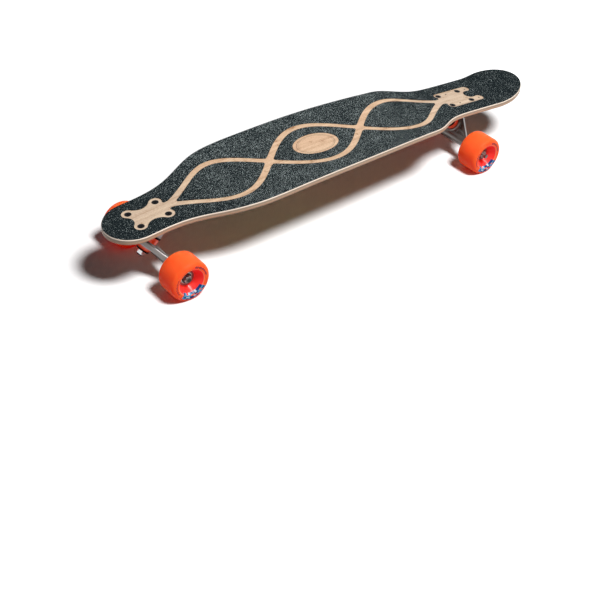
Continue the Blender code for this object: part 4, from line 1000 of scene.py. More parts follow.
def rubber_material(name, colour, roughness):
    material, s, shader = new_material(name)
    place = object_place(s)
    tone = s.mix(s.noise(place, 300.0, 3.0), colour, [min(channel * 2.0 + 0.01, 1.0) for channel in colour])
    bump = s.add("Bump", {"Height": s.noise(place, 2600.0, 2.0), "Strength": 0.3, "Distance": 0.0001})
    s.set(shader, {"Base Color": tone, "Roughness": roughness, "Normal": bump.outputs[0]})
    return material


def bushing_material(settings):
    """Urethane that looks translucent, with a painted red glow."""
    material, s, shader = new_material("bushing_urethane")
    place = object_place(s)
    cloud = s.noise(place, 160.0, 3.0)
    tone = s.mix(cloud, settings.bushing, [min(channel * 1.15 + 0.01, 1.0) for channel in settings.bushing])
    rough = s.math("MULTIPLY_ADD", cloud, 0.14, 0.20)
    s.set(shader, {"Base Color": tone, "Roughness": rough})
    s.set(shader, {"Subsurface Weight": 0.25, "Subsurface Scale": 0.003, "Coat Weight": 0.3})
    # Painted glow: the bushing gives off a faint red light, though it is no lamp.
    s.set(shader, {"Emission Color": (1.0, 0.050, 0.015, 1.0), "Emission Strength": 0.20})
    return material


def tyre_material(settings):
    """Satin urethane with a printed lip: a row of blocks on one side and small ticks on the other."""
    material, s, shader = new_material("tyre_urethane")
    hub = s.add("Attribute", attribute_name="hub", attribute_type="GEOMETRY").outputs["Vector"]
    x, y, height = s.split(hub)
    radius = s.add("VectorMath", {0: s.scaled(hub, (1.0, 1.0, 0.0))}, operation="LENGTH").outputs["Value"]
    turn = s.math("ARCTAN2", y, s.math("MULTIPLY", x, -1.0))
    outside = s.step(height, 0.0200, 0.0210)
    cloud = s.noise(hub, 45.0, 3.0)
    base = s.mix(cloud, settings.urethane, [min(channel * 1.12 + 0.004, 1.0) for channel in settings.urethane])
    column = s.math("MULTIPLY", turn, 7.2)
    row = s.math("DIVIDE", s.math("SUBTRACT", radius, 0.0222), 0.0026)
    nudge = s.math("MULTIPLY", s.math("FLOOR", row), 0.37)
    cell = s.add("CombineXYZ", {
        "X": s.math("FLOOR", s.math("ADD", column, nudge)),
        "Y": s.math("FLOOR", row),
    })
    chance = s.add("TexWhiteNoise", {"Vector": cell.outputs[0]}, noise_dimensions="2D")
    pick = chance.outputs["Value"]
    block = s.mix(s.math("GREATER_THAN", pick, 0.56), settings.dark_blocks, settings.light_blocks)
    block = s.mix(s.math("GREATER_THAN", pick, 0.88), block, (0.50, 0.60, 0.64))
    shown = s.math("MULTIPLY", s.step(turn, 0.72, 0.70), s.step(turn, -1.02, -1.00))
    shown = s.math("MULTIPLY", shown, s.math("GREATER_THAN", pick, 0.30))
    in_rows = s.math("MULTIPLY", s.math("GREATER_THAN", row, 0.0), s.math("LESS_THAN", row, 4.0))
    shown = s.math("MULTIPLY", s.math("MULTIPLY", shown, in_rows), outside)
    tick_turn = s.math("MULTIPLY", turn, 34.0)
    tick = s.step(s.math("ABSOLUTE", s.math("SINE", tick_turn)), 0.40, 0.60)
    tick_index = s.math("FLOOR", s.math("DIVIDE", tick_turn, math.pi))
    tick_chance = s.add("TexWhiteNoise", {"W": tick_index}, noise_dimensions="1D")
    tall = s.math("MULTIPLY_ADD", tick_chance.outputs["Value"], 0.0009, 0.0014)
    level = s.math("ABSOLUTE", s.math("SUBTRACT", radius, 0.0292))
    ticks = s.math("MULTIPLY", tick, s.math("LESS_THAN", level, tall))
    strong = s.math("MULTIPLY", s.step(turn, -1.70, -1.72), s.step(turn, -2.92, -2.90))
    faint = s.math("MULTIPLY", s.step(turn, 1.00, 1.02), s.step(turn, 2.10, 2.08))
    reach = s.math("MULTIPLY_ADD", faint, 0.7, strong)
    ticks = s.math("MULTIPLY", s.math("MULTIPLY", ticks, reach), outside)
    recess = s.math("MULTIPLY", s.step(radius, 0.0252, 0.0246), s.step(height, 0.008, 0.010))
    # Painted highlight: a thin pale ring along the rim of the outer recess.
    edge = s.step(s.math("ABSOLUTE", s.math("SUBTRACT", radius, OUTER_CONE_RADIUS)), 0.0008, 0.0004)
    edge = s.math("MULTIPLY", s.math("MULTIPLY", edge, outside), 0.65)
    # Painted shade: the recess is coloured a deeper red where the wheel's hollow lies in shade.
    colour = s.mix(recess, base, settings.recess)
    colour = s.mix(edge, colour, settings.recess_rim_highlight)
    colour = s.mix(shown, colour, block)
    colour = s.mix(ticks, colour, settings.ticks)
    # Painted glow: the urethane gives off a faint red light, though it is no lamp, except where it is printed.
    painted_glow = s.mix(s.math("MAXIMUM", shown, ticks), (1.0, 0.010, 0.006), (0.0, 0.0, 0.0))
    s.set(shader, {"Emission Color": painted_glow, "Emission Strength": 0.22})
    grooves = s.math("SINE", s.math("MULTIPLY", height, 5200.0))
    on_tread = s.step(radius, 0.0368, 0.0374)
    ground = s.math("MULTIPLY", s.math("MULTIPLY", grooves, on_tread), 0.25)
    grain = s.math("ADD", s.noise(hub, 1300.0, 2.0), ground)
    bump = s.add("Bump", {"Height": grain, "Strength": 0.18, "Distance": 0.00012})
    rough = s.math("MULTIPLY_ADD", cloud, 0.12, 0.34)
    rough = s.math("MULTIPLY_ADD", on_tread, 0.10, rough)
    s.set(shader, {"Base Color": colour, "Roughness": rough, "Normal": bump.outputs[0]})
    translucent = s.math("MULTIPLY_ADD", shown, -0.8, 0.8)
    s.set(shader, {"Coat Weight": s.math("MULTIPLY", recess, 0.12), "Coat Roughness": 0.12})
    s.set(shader, {"Subsurface Weight": translucent, "Subsurface Scale": 0.045, "Specular IOR Level": 0.07})
    s.set(shader, {"Subsurface Radius": (1.0, 0.06, 0.04)})
    return material


def bearing_material():
    """Ground steel rings round a dark shield."""
    material, s, shader = new_material("bearing")
    hub = s.add("Attribute", attribute_name="hub", attribute_type="GEOMETRY").outputs["Vector"]
    radius = s.add("VectorMath", {0: s.scaled(hub, (1.0, 1.0, 0.0))}, operation="LENGTH").outputs["Value"]
    ring = s.step(radius, SHIELD_RADIUS + 0.0008, SHIELD_RADIUS + 0.0009)
    marks = s.noise(hub, 700.0, 3.0)
    shield = s.mix(marks, (0.006, 0.005, 0.005), (0.022, 0.019, 0.018))
    colour = s.mix(ring, shield, (0.45, 0.42, 0.38))
    s.set(shader, {
        "Base Color": colour,
        "Metallic": s.math("MULTIPLY_ADD", ring, 0.5, 0.5),
        "Roughness": s.math("MULTIPLY_ADD", marks, 0.15, 0.18),
    })
    return material


def black_steel():
    """The blackened steel of the bolts and washers, made the first time that it is asked for."""
    name = "blackened_steel"
    made = bpy.data.materials.get(name)
    return made or plated_material(name, (0.004, 0.0033, 0.0045), 0.42, 0.0, 1.14, 0.01)


def bent_sheet(points, bottom, top, rim, rim_segments, mirrored):
    """A flat outline extruded, cut into rows and columns and laid along the deck's top.
    A mirrored one is the left half of a sheet, which starts and ends on the centre line."""
    bm = extruded(points, bottom, top, 0.0)
    rims = [edge for edge in bm.edges if abs(edge.verts[0].co.z - edge.verts[1].co.z) < 1e-7]
    if mirrored:
        rims = [edge for edge in rims if max(abs(vert.co.y) for vert in edge.verts) > 1e-6]
        rims = [edge for edge in rims if edge.verts[0].co.z > (bottom + top) / 2]
    round_off(bm, rims, rim, rim_segments)
    if mirrored:
        walls = [face for face in bm.faces if all(abs(vert.co.y) < 1e-6 for vert in face.verts)]
        bmesh.ops.delete(bm, geom=walls, context="FACES")
    for x in steps(TAIL_TIP_X, NOSE_TIP_X, ROW_STEP)[1:-1]:
        everything = bm.verts[:] + bm.edges[:] + bm.faces[:]
        bmesh.ops.bisect_plane(bm, geom=everything, dist=1e-6, plane_co=(x, 0, 0), plane_no=(1, 0, 0))
    columns = math.floor(DECK_WIDTH / 2 / COLUMN_STEP)
    for y in [COLUMN_STEP * i for i in range(0 if mirrored else -columns, columns + 1)]:
        everything = bm.verts[:] + bm.edges[:] + bm.faces[:]
        bmesh.ops.bisect_plane(bm, geom=everything, dist=1e-6, plane_co=(0, y, 0), plane_no=(0, 1, 0))
    if mirrored:
        for vert in bm.verts:
            if abs(vert.co.y) < 1e-5:
                vert.co.y = 0.0
        bmesh.ops.mirror(bm, geom=bm.verts[:] + bm.edges[:] + bm.faces[:], axis="Y", merge_dist=1e-6)
        bmesh.ops.recalc_face_normals(bm, faces=bm.faces)
    for vert in bm.verts:
        vert.co.z += surface(vert.co.x, vert.co.y)
    return bm


class LONGBOARD_OT_deck(bpy.types.Operator):
    """Lays up the cambered deck, rounds its rails, and drills it for the bolts"""

    bl_idname = "longboard.deck"
    bl_label = "Deck"

    def execute(self, context):
        settings = context.scene.longboard_deck
        left = half_outline(0.0)
        outline = left + [(x, -y) for x, y in reversed(left[1:-1])]
        deck = bent_sheet(outline, -DECK_THICKNESS, 0.0, settings.edge_rounding, 5, mirrored=False)
        hole, head = BOLT_RADIUS + GAP, BOLT_HEAD_RADIUS + GAP
        profile = [(0.0, -2 * DECK_THICKNESS), (hole, -2 * DECK_THICKNESS), (hole, -BOLT_HEAD_DEPTH - GAP)]
        profile += [(head, 0.0), (head, DECK_THICKNESS / 4), (0.0, DECK_THICKNESS / 4)]
        drills = []
        for end in ENDS:
            for x, y in pattern_places():
                place = pad_matrix(end) @ Matrix.Translation((x, y, 0.0))
                drills.append(turned(profile, SMALL_SEGMENTS, place))
        for x, y in pattern_places():
            place = pad_matrix("rear") @ Matrix.Translation((x + PILOT_SHIFT, y, 0.0))
            drills.append(cylinder(PILOT_RADIUS, -2 * DECK_THICKNESS, DECK_THICKNESS, 16, place))
        deck = carved(deck, joined(drills))
        mark(deck, "laid", lambda co: (co.x, co.y, co.z - surface(co.x, co.y)))
        finish_piece("deck_lay_up", deck, deck_material(settings), "board", ["deck"], crease=44)
        return {"FINISHED"}


class LONGBOARD_OT_grip(bpy.types.Operator):
    """Cuts the grip: an outer sheet with windows and bands, and the panels between the bands"""

    bl_idname = "longboard.grip"
    bl_label = "Grip"

    def execute(self, context):
        settings = context.scene.longboard_deck
        nose = [(FRONT_X + u, v) for u, v in window_outline(True)]
        tail = [(REAR_X - u, v) for u, v in window_outline(False)]
        nose[0], tail[0] = (nose[0][0], 0.0), (tail[0][0], 0.0)
        bands = [(x, band_edge(x, 1)) for x in steps(nose[-1][0], tail[-1][0], OUTLINE_STEP)[1:-1]]
        halves = {"outer": half_outline(GRIP_INSET) + nose + bands + tail[::-1]}
        for index, name in enumerate(("rear_panel", "middle_panel", "front_panel")):
            xs = steps(*lens_ends(index), OUTLINE_STEP)
            half = [(xs[0], 0.0)] + [(x, band_edge(x, -1)) for x in xs] + [(xs[-1], 0.0)]
            if index == LENS_COUNT // 2:
                middle, length, width = medallion()
                oval = arc((0.0, 0.0), 1.0, 0.0, math.pi)
                half += [(middle + length * u, width * v) for u, v in oval[:-1]] + [(middle - length, 0.0)]
            halves[name] = half
        material = grip_material(settings)
        top = GAP + settings.grip_thickness
        for name, half in halves.items():
            sheet = bent_sheet(half, GAP / 3, top, 0.00025, 2, mirrored=True)
            finish_piece(f"abrasive_{name}", sheet, material, "board", [f"grip_{name}"])
        return {"FINISHED"}


def hexagonal(radius, bottom, top, chamfer, matrix=None):
    """A hexagonal prism with its corners turned off at both ends."""
    bm = bmesh.new()
    bmesh.ops.create_cone(
        bm,
        cap_ends=True,
        segments=6,
        radius1=radius,
        radius2=radius,
        depth=top - bottom,
        matrix=Matrix.Translation((0.0, 0.0, (top + bottom) / 2)),
    )
    lift = chamfer * 0.55
    blank = [(0.0, bottom), (radius - chamfer, bottom), (radius * 1.01, bottom + lift)]
    blank += [(radius * 1.01, top - lift), (radius - chamfer, top), (0.0, top)]
    bm = carved(bm, turned(blank, ROUND_SEGMENTS), "INTERSECT")
    if matrix is not None:
        bmesh.ops.transform(bm, matrix=matrix, verts=bm.verts)
    return bm


def lock_nut(radius, height, bore):
    """A lock nut on z 0: a chamfered hexagon under a rounded collar that holds its nylon ring."""
    collar = radius * 0.80
    split = height * 0.70
    body = hexagonal(radius, 0.0, split, radius * 0.13)
    crown = [(bore, split * 0.5), (collar, split * 0.5), (collar, height * 0.93, height * 0.10)]
    crown += [(collar * 0.80, height, height * 0.04), (bore * 1.08, height), (bore, height * 0.94)]
    whole = carved(body, turned(crown, ROUND_SEGMENTS), "UNION")
    return carved(whole, cylinder(bore, -height, height * 2, SMALL_SEGMENTS))


def threaded(radius, start, stop, pitch=0.0009):
    """Profile points of a thread's ridges from start to stop along the axis."""
    count = max(1, round(abs(stop - start) / pitch))
    step = (stop - start) / count
    points = []
    for i in range(count):
        points.append((radius - 0.0004, start + step * (i + 0.1)))
        points.append((radius, start + step * (i + 0.6)))
    return points


class LONGBOARD_OT_baseplates(bpy.types.Operator):
    """Casts the baseplates, and lays the riser pads and pivot cups"""

    bl_idname = "longboard.baseplates"
    bl_label = "Baseplates"

    def execute(self, context):
        settings = context.scene.longboard_truck
        metal = cast_material("cast_aluminium", settings.casting, 0.38, 0.5, 0.55, 0.75)
        rubber = rubber_material("riser_rubber", (0.012, 0.011, 0.010), 0.62)
        plastic = rubber_material("pivot_plastic", (0.020, 0.020, 0.020), 0.45)
        casting = self.casting(settings.softening)
        pattern = bpy.data.meshes.new("casting")
        casting.to_mesh(pattern)
        casting.free()
        for end in ENDS:
            plate = bmesh.new()
            plate.from_mesh(pattern)
            place = truck_matrix(end)
            finish_piece(f"{end}_plate_casting", plate, metal, "board", [f"{end}_baseplate"], place)
            finish_piece(f"{end}_riser_sheet", self.riser(), rubber, "board", [f"{end}_riser_pad"], place)
            cup = self.cup()
            place = place @ frame_at(RING, STEER)
            finish_piece(f"{end}_pivot_liner", cup, plastic, "board", [f"{end}_pivot_cup"], place)
        bpy.data.meshes.remove(pattern)
        return {"FINISHED"}

    def casting(self, softening):
        x_start, x_stop = PATTERN_AHEAD - PLATE_INBOARD, PATTERN_AHEAD + PLATE_OUTBOARD
        face = TRUCK_HEIGHT - PLATE_THICKNESS
        half = PLATE_WIDTH / 2
        far = 2 * TRUCK_HEIGHT
        boss_place = frame_at(RING, -KINGPIN)
        steer_place = frame_at(RING, STEER)
        solids = [rounded_box((x_start, x_stop), (-half, half), (face + 0.0010, TRUCK_HEIGHT), PLATE_CORNER)]
        nuts = [(x + PATTERN_AHEAD, y) for x, y in pattern_places()]
        for x, y in nuts:
            pad = Matrix.Translation((x, y, 0.0))
            solids.append(cylinder(0.0078, face, TRUCK_HEIGHT - 0.001, ROUND_SEGMENTS, pad, 0.0086))
        for side in (-1, 1):
            inner, outer = side * (BOSS_RADIUS - CHEEK_THICKNESS), side * BOSS_RADIUS
            solids.append(self.cheek(min(inner, outer), max(inner, outer)))
            panel = sorted((side * 0.0175, side * 0.0255))
            solids.append(rounded_box((-0.0125, 0.0185), tuple(panel), (face + 0.0002, TRUCK_HEIGHT), 0.0015))
        solids.append(cylinder(BOSS_RADIUS, BOSS_FACE, BOSS_FACE + 0.045, ROUND_SEGMENTS, boss_place))
        solids.append(cylinder(HOUSING_RADIUS, HOUSING_MOUTH, HOUSING_MOUTH + 0.030, ROUND_SEGMENTS, steer_place))
        hollows = [
            cylinder(POCKET_RADIUS, BOSS_BACK, far, ROUND_SEGMENTS, boss_place),
            rounded_box((-far, far), (-far, far), (TRUCK_HEIGHT, far), far / 8),
            rounded_box((x_stop, far), (-far, far), (-far, far), 0.001),
            rounded_box((-far, x_start), (-far, far), (-far, far), 0.001),
        ]
        places = nuts + [(EXTRA_HOLE_OUTBOARD + PATTERN_AHEAD, y * BOLT_SPACING_WIDE / 2) for y in (-1, 1)]
        bores = [
            cylinder(KINGPIN_RADIUS + GAP, BOSS_FACE / 2, BOSS_BACK + BOSS_DEPTH, SMALL_SEGMENTS, boss_place),
            cylinder(CUP_RADIUS + GAP, HOUSING_MOUTH / 2, CUP_END + GAP, ROUND_SEGMENTS, steer_place),
        ]
        for x, y in places:
            bores.append(cylinder(BOLT_RADIUS + GAP, face - 0.01, far, SMALL_SEGMENTS, Matrix.Translation((x, y, 0.0))))
        return cast(solids, hollows, bores, softening)

    def cheek(self, low_side, high_side):
        """One side wall, from the boss down to a saddle and up to the pivot housing."""
        face = RING - BOSS_FACE * KINGPIN
        mouth = RING + HOUSING_MOUTH * STEER - HOUSING_RADIUS * KINGPIN
        low = face - BOSS_RADIUS * STEER / 2
        high = face + BOSS_RADIUS * STEER
        saddle = ((high.x + mouth.x) / 2, TRUCK_HEIGHT - SADDLE_HEIGHT)
        plate = TRUCK_HEIGHT - PLATE_THICKNESS / 2
        foot = PATTERN_AHEAD + BOLT_SPACING_LONG / 2
        back = low - BOSS_DEPTH * KINGPIN
        corners = [(low.x, low.z), (high.x, high.z), saddle, (mouth.x, mouth.z), (foot, plate)]
        corners += [(back.x, plate), (back.x, back.z)]
        wall = extruded(corners, low_side, high_side)
        side_view = Matrix(((1, 0, 0, 0), (0, 0, -1, 0), (0, 1, 0, 0), (0, 0, 0, 1)))
        bmesh.ops.transform(wall, matrix=side_view, verts=wall.verts)
        bmesh.ops.recalc_face_normals(wall, faces=wall.faces)
        return wall

    def riser(self):
        bottom = TRUCK_HEIGHT + GAP
        x_span = (PATTERN_AHEAD - PLATE_INBOARD, PATTERN_AHEAD + PLATE_OUTBOARD)
        half = PLATE_WIDTH / 2
        sheet = rounded_box(x_span, (-half, half), (bottom, bottom + RISER_THICKNESS), PLATE_CORNER, 10)
        round_off(sheet, sharp_edges(sheet), 0.0004, 2)
        holes = []
        for x, y in pattern_places():
            place = Matrix.Translation((x + PATTERN_AHEAD, y, 0.0))
            holes.append(cylinder(BOLT_RADIUS + GAP, TRUCK_HEIGHT / 2, 2 * TRUCK_HEIGHT, SMALL_SEGMENTS, place))
        return carved(sheet, joined(holes))

    def cup(self):
        start = HOUSING_MOUTH + GAP
        floor = PEG_LENGTH + RUNNING_GAP
        mouth_radius = PEG_RADIUS + RUNNING_GAP
        profile = [(0.0, floor), (PEG_TIP_RADIUS + RUNNING_GAP, floor, 0.0008), (mouth_radius, start, 0.0006)]
        profile += [(CUP_RADIUS, start, 0.0006), (CUP_RADIUS, CUP_END, 0.0010), (0.0, CUP_END)]
        return turned(profile, ROUND_SEGMENTS)


class LONGBOARD_OT_hangers(bpy.types.Operator):
    """Casts the hangers and fits their axles"""

    bl_idname = "longboard.hangers"
    bl_label = "Hangers"

    def execute(self, context):
        settings = context.scene.longboard_truck
        metal = cast_material("satin_aluminium", settings.satin, 0.38, 0.25, 0.50, 0.9)
        steel = plated_material("dark_steel", settings.dark_steel, 0.30, 0.8, 1.5, 0.10)
        casting = self.casting(settings.softening)
        pattern = bpy.data.meshes.new("casting")
        casting.to_mesh(pattern)
        casting.free()
        axle_place = frame_at((0.0, RING_ACROSS, -RING_ALONG), (1.0, 0.0, 0.0))
        for end in ENDS:
            body = f"{end}_hanger_set"
            place = steer_matrix(end)
            hanger = bmesh.new()
            hanger.from_mesh(pattern)
            finish_piece(f"{end}_hanger_casting", hanger, metal, body, [f"{end}_hanger"], place)
            reach = AXLE_HALF_LENGTH
            profile = [(0.0, -reach), (AXLE_RADIUS, -reach, 0.0007)]
            profile += threaded(AXLE_RADIUS, 0.0015 - reach, 0.0105 - reach)
            profile += threaded(AXLE_RADIUS, reach - 0.0105, reach - 0.0015)
            profile += [(AXLE_RADIUS, reach, 0.0007), (0.0, reach)]
            axle = turned(profile, SMALL_SEGMENTS, axle_place)
            finish_piece(f"{end}_axle_rod", axle, steel, body, [f"{end}_axle"], place)
        bpy.data.meshes.remove(pattern)
        return {"FINISHED"}

    def casting(self, softening):
        axle_place = frame_at((0.0, RING_ACROSS, -RING_ALONG), (1.0, 0.0, 0.0))
        across = frame_at((0.0, 0.0, 0.0), (0.0, -1.0, 0.0), (1.0, 0.0, 0.0))
        end = HANGER_HALF_LENGTH
        taper = end - AXLE_HOUSING_TAPER
        profile = [(0.0, -end), (AXLE_HOUSING_END_RADIUS, -end, 0.0008), (AXLE_HOUSING_END_RADIUS, -taper)]
        profile.append((AXLE_HOUSING_RADIUS, -WEB_HALF_WIDTH / 2))
        profile += [(point[0], -point[1], *point[2:]) for point in reversed(profile)]
        housing = turned(profile, ROUND_SEGMENTS, axle_place)
        corners = [(-RING_ALONG, WEB_HALF_WIDTH), (WEB_END, WEB_NECK_HALF_WIDTH)]
        corners += [(along, -side) for along, side in reversed(corners)]
        web = extruded(corners, -WEB_HALF_THICKNESS, WEB_HALF_THICKNESS)
        flat = Matrix(((0, 1, 0, 0), (0, 0, 1, 0), (1, 0, 0, 0), (0, 0, 0, 1)))
        bmesh.ops.transform(web, matrix=flat, verts=web.verts)
        bmesh.ops.recalc_face_normals(web, faces=web.faces)
        ring = turned(
            [
                (0.0, -RING_HALF_HEIGHT),
                (RING_RADIUS, -RING_HALF_HEIGHT, 0.0010),
                (RING_RADIUS, RING_HALF_HEIGHT, 0.0010),
                (0.0, RING_HALF_HEIGHT),
            ],
            WHEEL_SEGMENTS,
            across,
        )
        narrow = PEG_RADIUS + (PEG_TIP_RADIUS - PEG_RADIUS) * (PEG_LENGTH - CUP_FLOOR - HOUSING_MOUTH) / (
            PEG_LENGTH - HOUSING_MOUTH
        )
        peg = [(0.0, RING_HALF_HEIGHT), (PEG_RADIUS, RING_HALF_HEIGHT), (PEG_RADIUS, HOUSING_MOUTH)]
        peg += [(narrow, PEG_LENGTH - CUP_FLOOR, 0.0015), (PEG_TIP_RADIUS / 2, PEG_LENGTH), (0.0, PEG_LENGTH)]
        far = 3 * RING_HALF_HEIGHT
        cut = [(0.0, -far), (BOARD_BUSHING_RADIUS + GAP, -far), (BOARD_BUSHING_RADIUS + GAP, -SEAT_DEPTH)]
        cut += [(RING_HOLE_RADIUS, -SEAT_DEPTH), (RING_HOLE_RADIUS, SEAT_DEPTH)]
        cut += [(ROAD_BUSHING_RADIUS + GAP, SEAT_DEPTH), (ROAD_BUSHING_RADIUS + GAP, far), (0.0, far)]
        hollows = [cylinder(RING_HOLE_RADIUS * 0.8, -far, far, SMALL_SEGMENTS, across)]
        for side in (-1, 1):
            for corners in WEB_POCKETS:
                pocket = extruded([(along, side * out) for along, out in corners], -WEB_POCKET_FLOOR, 3 * far)
                bmesh.ops.transform(pocket, matrix=flat, verts=pocket.verts)
                bmesh.ops.recalc_face_normals(pocket, faces=pocket.faces)
                hollows.append(pocket)
        bores = [
            turned(cut, WHEEL_SEGMENTS, across),
            cylinder(AXLE_RADIUS + GAP / 3, -2 * end, 2 * end, SMALL_SEGMENTS, axle_place),
        ]
        return cast([housing, web, ring, turned(peg, ROUND_SEGMENTS)], hollows, bores, softening)


class LONGBOARD_OT_kingpins(bpy.types.Operator):
    """Stacks the kingpins: head, shank, bushings, cup washers and lock nut"""

    bl_idname = "longboard.kingpins"
    bl_label = "Kingpins"

    def execute(self, context):
        settings = context.scene.longboard_truck
        black = black_steel()
        zinc = plated_material("zinc_plate", settings.zinc, 0.24)
        urethane = bushing_material(settings)
        for end in ENDS:
            place = kingpin_matrix(end)
            self.kingpin(end, place, black)
            nut = lock_nut(KINGPIN_NUT_RADIUS, KINGPIN_NUT_HEIGHT, KINGPIN_RADIUS + GAP)
            seat = place @ Matrix.Translation((0.0, 0.0, NUT_SEAT))
            finish_piece(f"{end}_kingpin_lock_nut", nut, zinc, "board", [f"{end}_kingpin_nut"], seat, 30)
            self.washer(end, "large", LARGE_WASHER_RADIUS, BOARD_BUSHING_RADIUS, GAP - BOSS_FACE, 1, place, black)
            self.washer(end, "small", SMALL_WASHER_RADIUS, ROAD_BUSHING_TIP_RADIUS, NUT_SEAT - GAP, -1, place, black)
            self.bushings(end, place, urethane)
        return {"FINISHED"}

    def kingpin(self, end, place, black):
        stop = NUT_SEAT + KINGPIN_NUT_HEIGHT + KINGPIN_PAST_NUT
        head_seat = -BOSS_BACK - GAP
        profile = [(0.0, head_seat - 0.001), (KINGPIN_RADIUS, head_seat - 0.001)]
        profile += threaded(KINGPIN_RADIUS, NUT_SEAT, stop - 0.0007, 0.0010)
        profile += [(KINGPIN_RADIUS - 0.0006, stop, 0.0003), (0.0, stop)]
        shank = turned(profile, SMALL_SEGMENTS)
        head = hexagonal(KINGPIN_HEAD_RADIUS, head_seat - KINGPIN_HEAD_HEIGHT, head_seat, 0.0009)
        finish_piece(
            f"{end}_kingpin_bolt", joined([shank, head]), black, "board", [f"{end}_kingpin"], place, 30
        )

    def washer(self, end, which, radius, held_radius, back, facing, place, black):
        """A cup washer with its back at this place and its rim round the bushing."""
        hole = KINGPIN_RADIUS + GAP
        front = back + facing * WASHER_THICKNESS
        lip = front + facing * WASHER_RIM
        inner = held_radius + GAP
        profile = [(hole, back, 0.0002), (radius, back, 0.0011), (radius, lip, 0.0003)]
        profile += [(inner, lip, 0.0002), (inner, front, 0.0004), (hole, front, 0.0002)]
        cup = turned(profile, ROUND_SEGMENTS)
        node = f"{end}_{which}_cup_washer"
        finish_piece(f"{end}_{which}_cup", cup, black, "board", [node], place)

    def bushings(self, end, place, urethane):
        """The two bushings, each between its washer's place and the hanger's."""
        hole = RING_HOLE_RADIUS - GAP
        seat = SEAT_DEPTH + GAP
        tip = -seat - BOARD_BUSHING_HEIGHT
        board = [(hole, -seat), (hole, tip), (BOARD_BUSHING_TIP_RADIUS, tip, 0.0006)]
        board += [(BOARD_BUSHING_RADIUS, tip + BOARD_BUSHING_TAPER, 0.0012), (BOARD_BUSHING_RADIUS, -seat, 0.0008)]
        self.bushing(end, "boardside", self.ringed(board), tip, -seat, place, urethane)
        tip = seat + ROAD_BUSHING_HEIGHT
        neck = tip - WASHER_RIM - GAP
        road = [(hole, seat), (ROAD_BUSHING_RADIUS, seat, 0.0008), (ROAD_BUSHING_RADIUS, seat + ROAD_BUSHING_RIM, 0.0014)]
        road += [(ROAD_BUSHING_TIP_RADIUS, neck, 0.0006), (ROAD_BUSHING_TIP_RADIUS, tip, 0.0004), (hole, tip)]
        self.bushing(end, "roadside", self.ringed(road), tip, seat, place, urethane)

    def ringed(self, profile):
        """A turned bushing cut into thin slices."""
        bm = turned(profile, ROUND_SEGMENTS)
        heights = [vert.co.z for vert in bm.verts]
        for z in steps(min(heights), max(heights), 0.0010)[1:-1]:
            everything = bm.verts[:] + bm.edges[:] + bm.faces[:]
            bmesh.ops.bisect_plane(bm, geom=everything, dist=1e-6, plane_co=(0, 0, z), plane_no=(0, 0, 1))
        return bm

    def bushing(self, end, which, bm, tip, seat, place, urethane):
        node = f"{end}_{which}_bushing"
        piece = finish_piece(f"{node}_urethane", bm, urethane, None, [node], place)
        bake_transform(piece)


class LONGBOARD_OT_bolts(bpy.types.Operator):
    """Fits the eight countersunk bolts with their lock nuts"""

    bl_idname = "longboard.bolts"
    bl_label = "Deck bolts"

    def execute(self, context):
        black = black_steel()
        pattern = bpy.data.meshes.new("bolt")
        bolt = self.bolt()
        bolt.to_mesh(pattern)
        bolt.free()
        for end in ENDS:
            for sx, row in ((-1, "inboard"), (1, "outboard")):
                for side in (-1, 1):
                    node = f"{end}_{row}_{hand(end, side)}_bolt"
                    x = PATTERN_AHEAD + sx * BOLT_SPACING_LONG / 2
                    shift = Matrix.Translation((x, side * BOLT_SPACING_WIDE / 2, 0.0))
                    turn = Matrix.Rotation(0.7 * sx + 1.9 * side, 4, "Z")
                    bm = bmesh.new()
                    bm.from_mesh(pattern)
                    place = truck_matrix(end) @ shift @ turn
                    finish_piece(f"{node}_set", bm, black, "board", [node], place, 30)
        bpy.data.meshes.remove(pattern)
        return {"FINISHED"}

    def bolt(self):
        nut_top = TRUCK_HEIGHT - PLATE_THICKNESS - GAP
        end = nut_top - BOLT_NUT_HEIGHT - BOLT_PAST_NUT
        profile = [(0.0, STACK), (BOLT_HEAD_RADIUS, STACK, 0.0002), (BOLT_RADIUS, STACK - BOLT_HEAD_DEPTH)]
        profile += threaded(BOLT_RADIUS, nut_top + 0.004, end + 0.0004, 0.0008)
        profile += [(BOLT_RADIUS - 0.0005, end), (0.0, end)]
        bolt = turned(profile, SMALL_SEGMENTS)
        socket = hexagonal(BOLT_SOCKET_RADIUS, STACK - BOLT_SOCKET_DEPTH, STACK + 0.001, 0.0001)
        bolt = carved(bolt, socket)
        nut = lock_nut(BOLT_NUT_RADIUS, BOLT_NUT_HEIGHT, BOLT_RADIUS)
        down = Matrix.Translation((0.0, 0.0, nut_top)) @ Matrix.Rotation(math.pi, 4, "X")
        bmesh.ops.transform(nut, matrix=down, verts=nut.verts)
        return joined([bolt, nut])


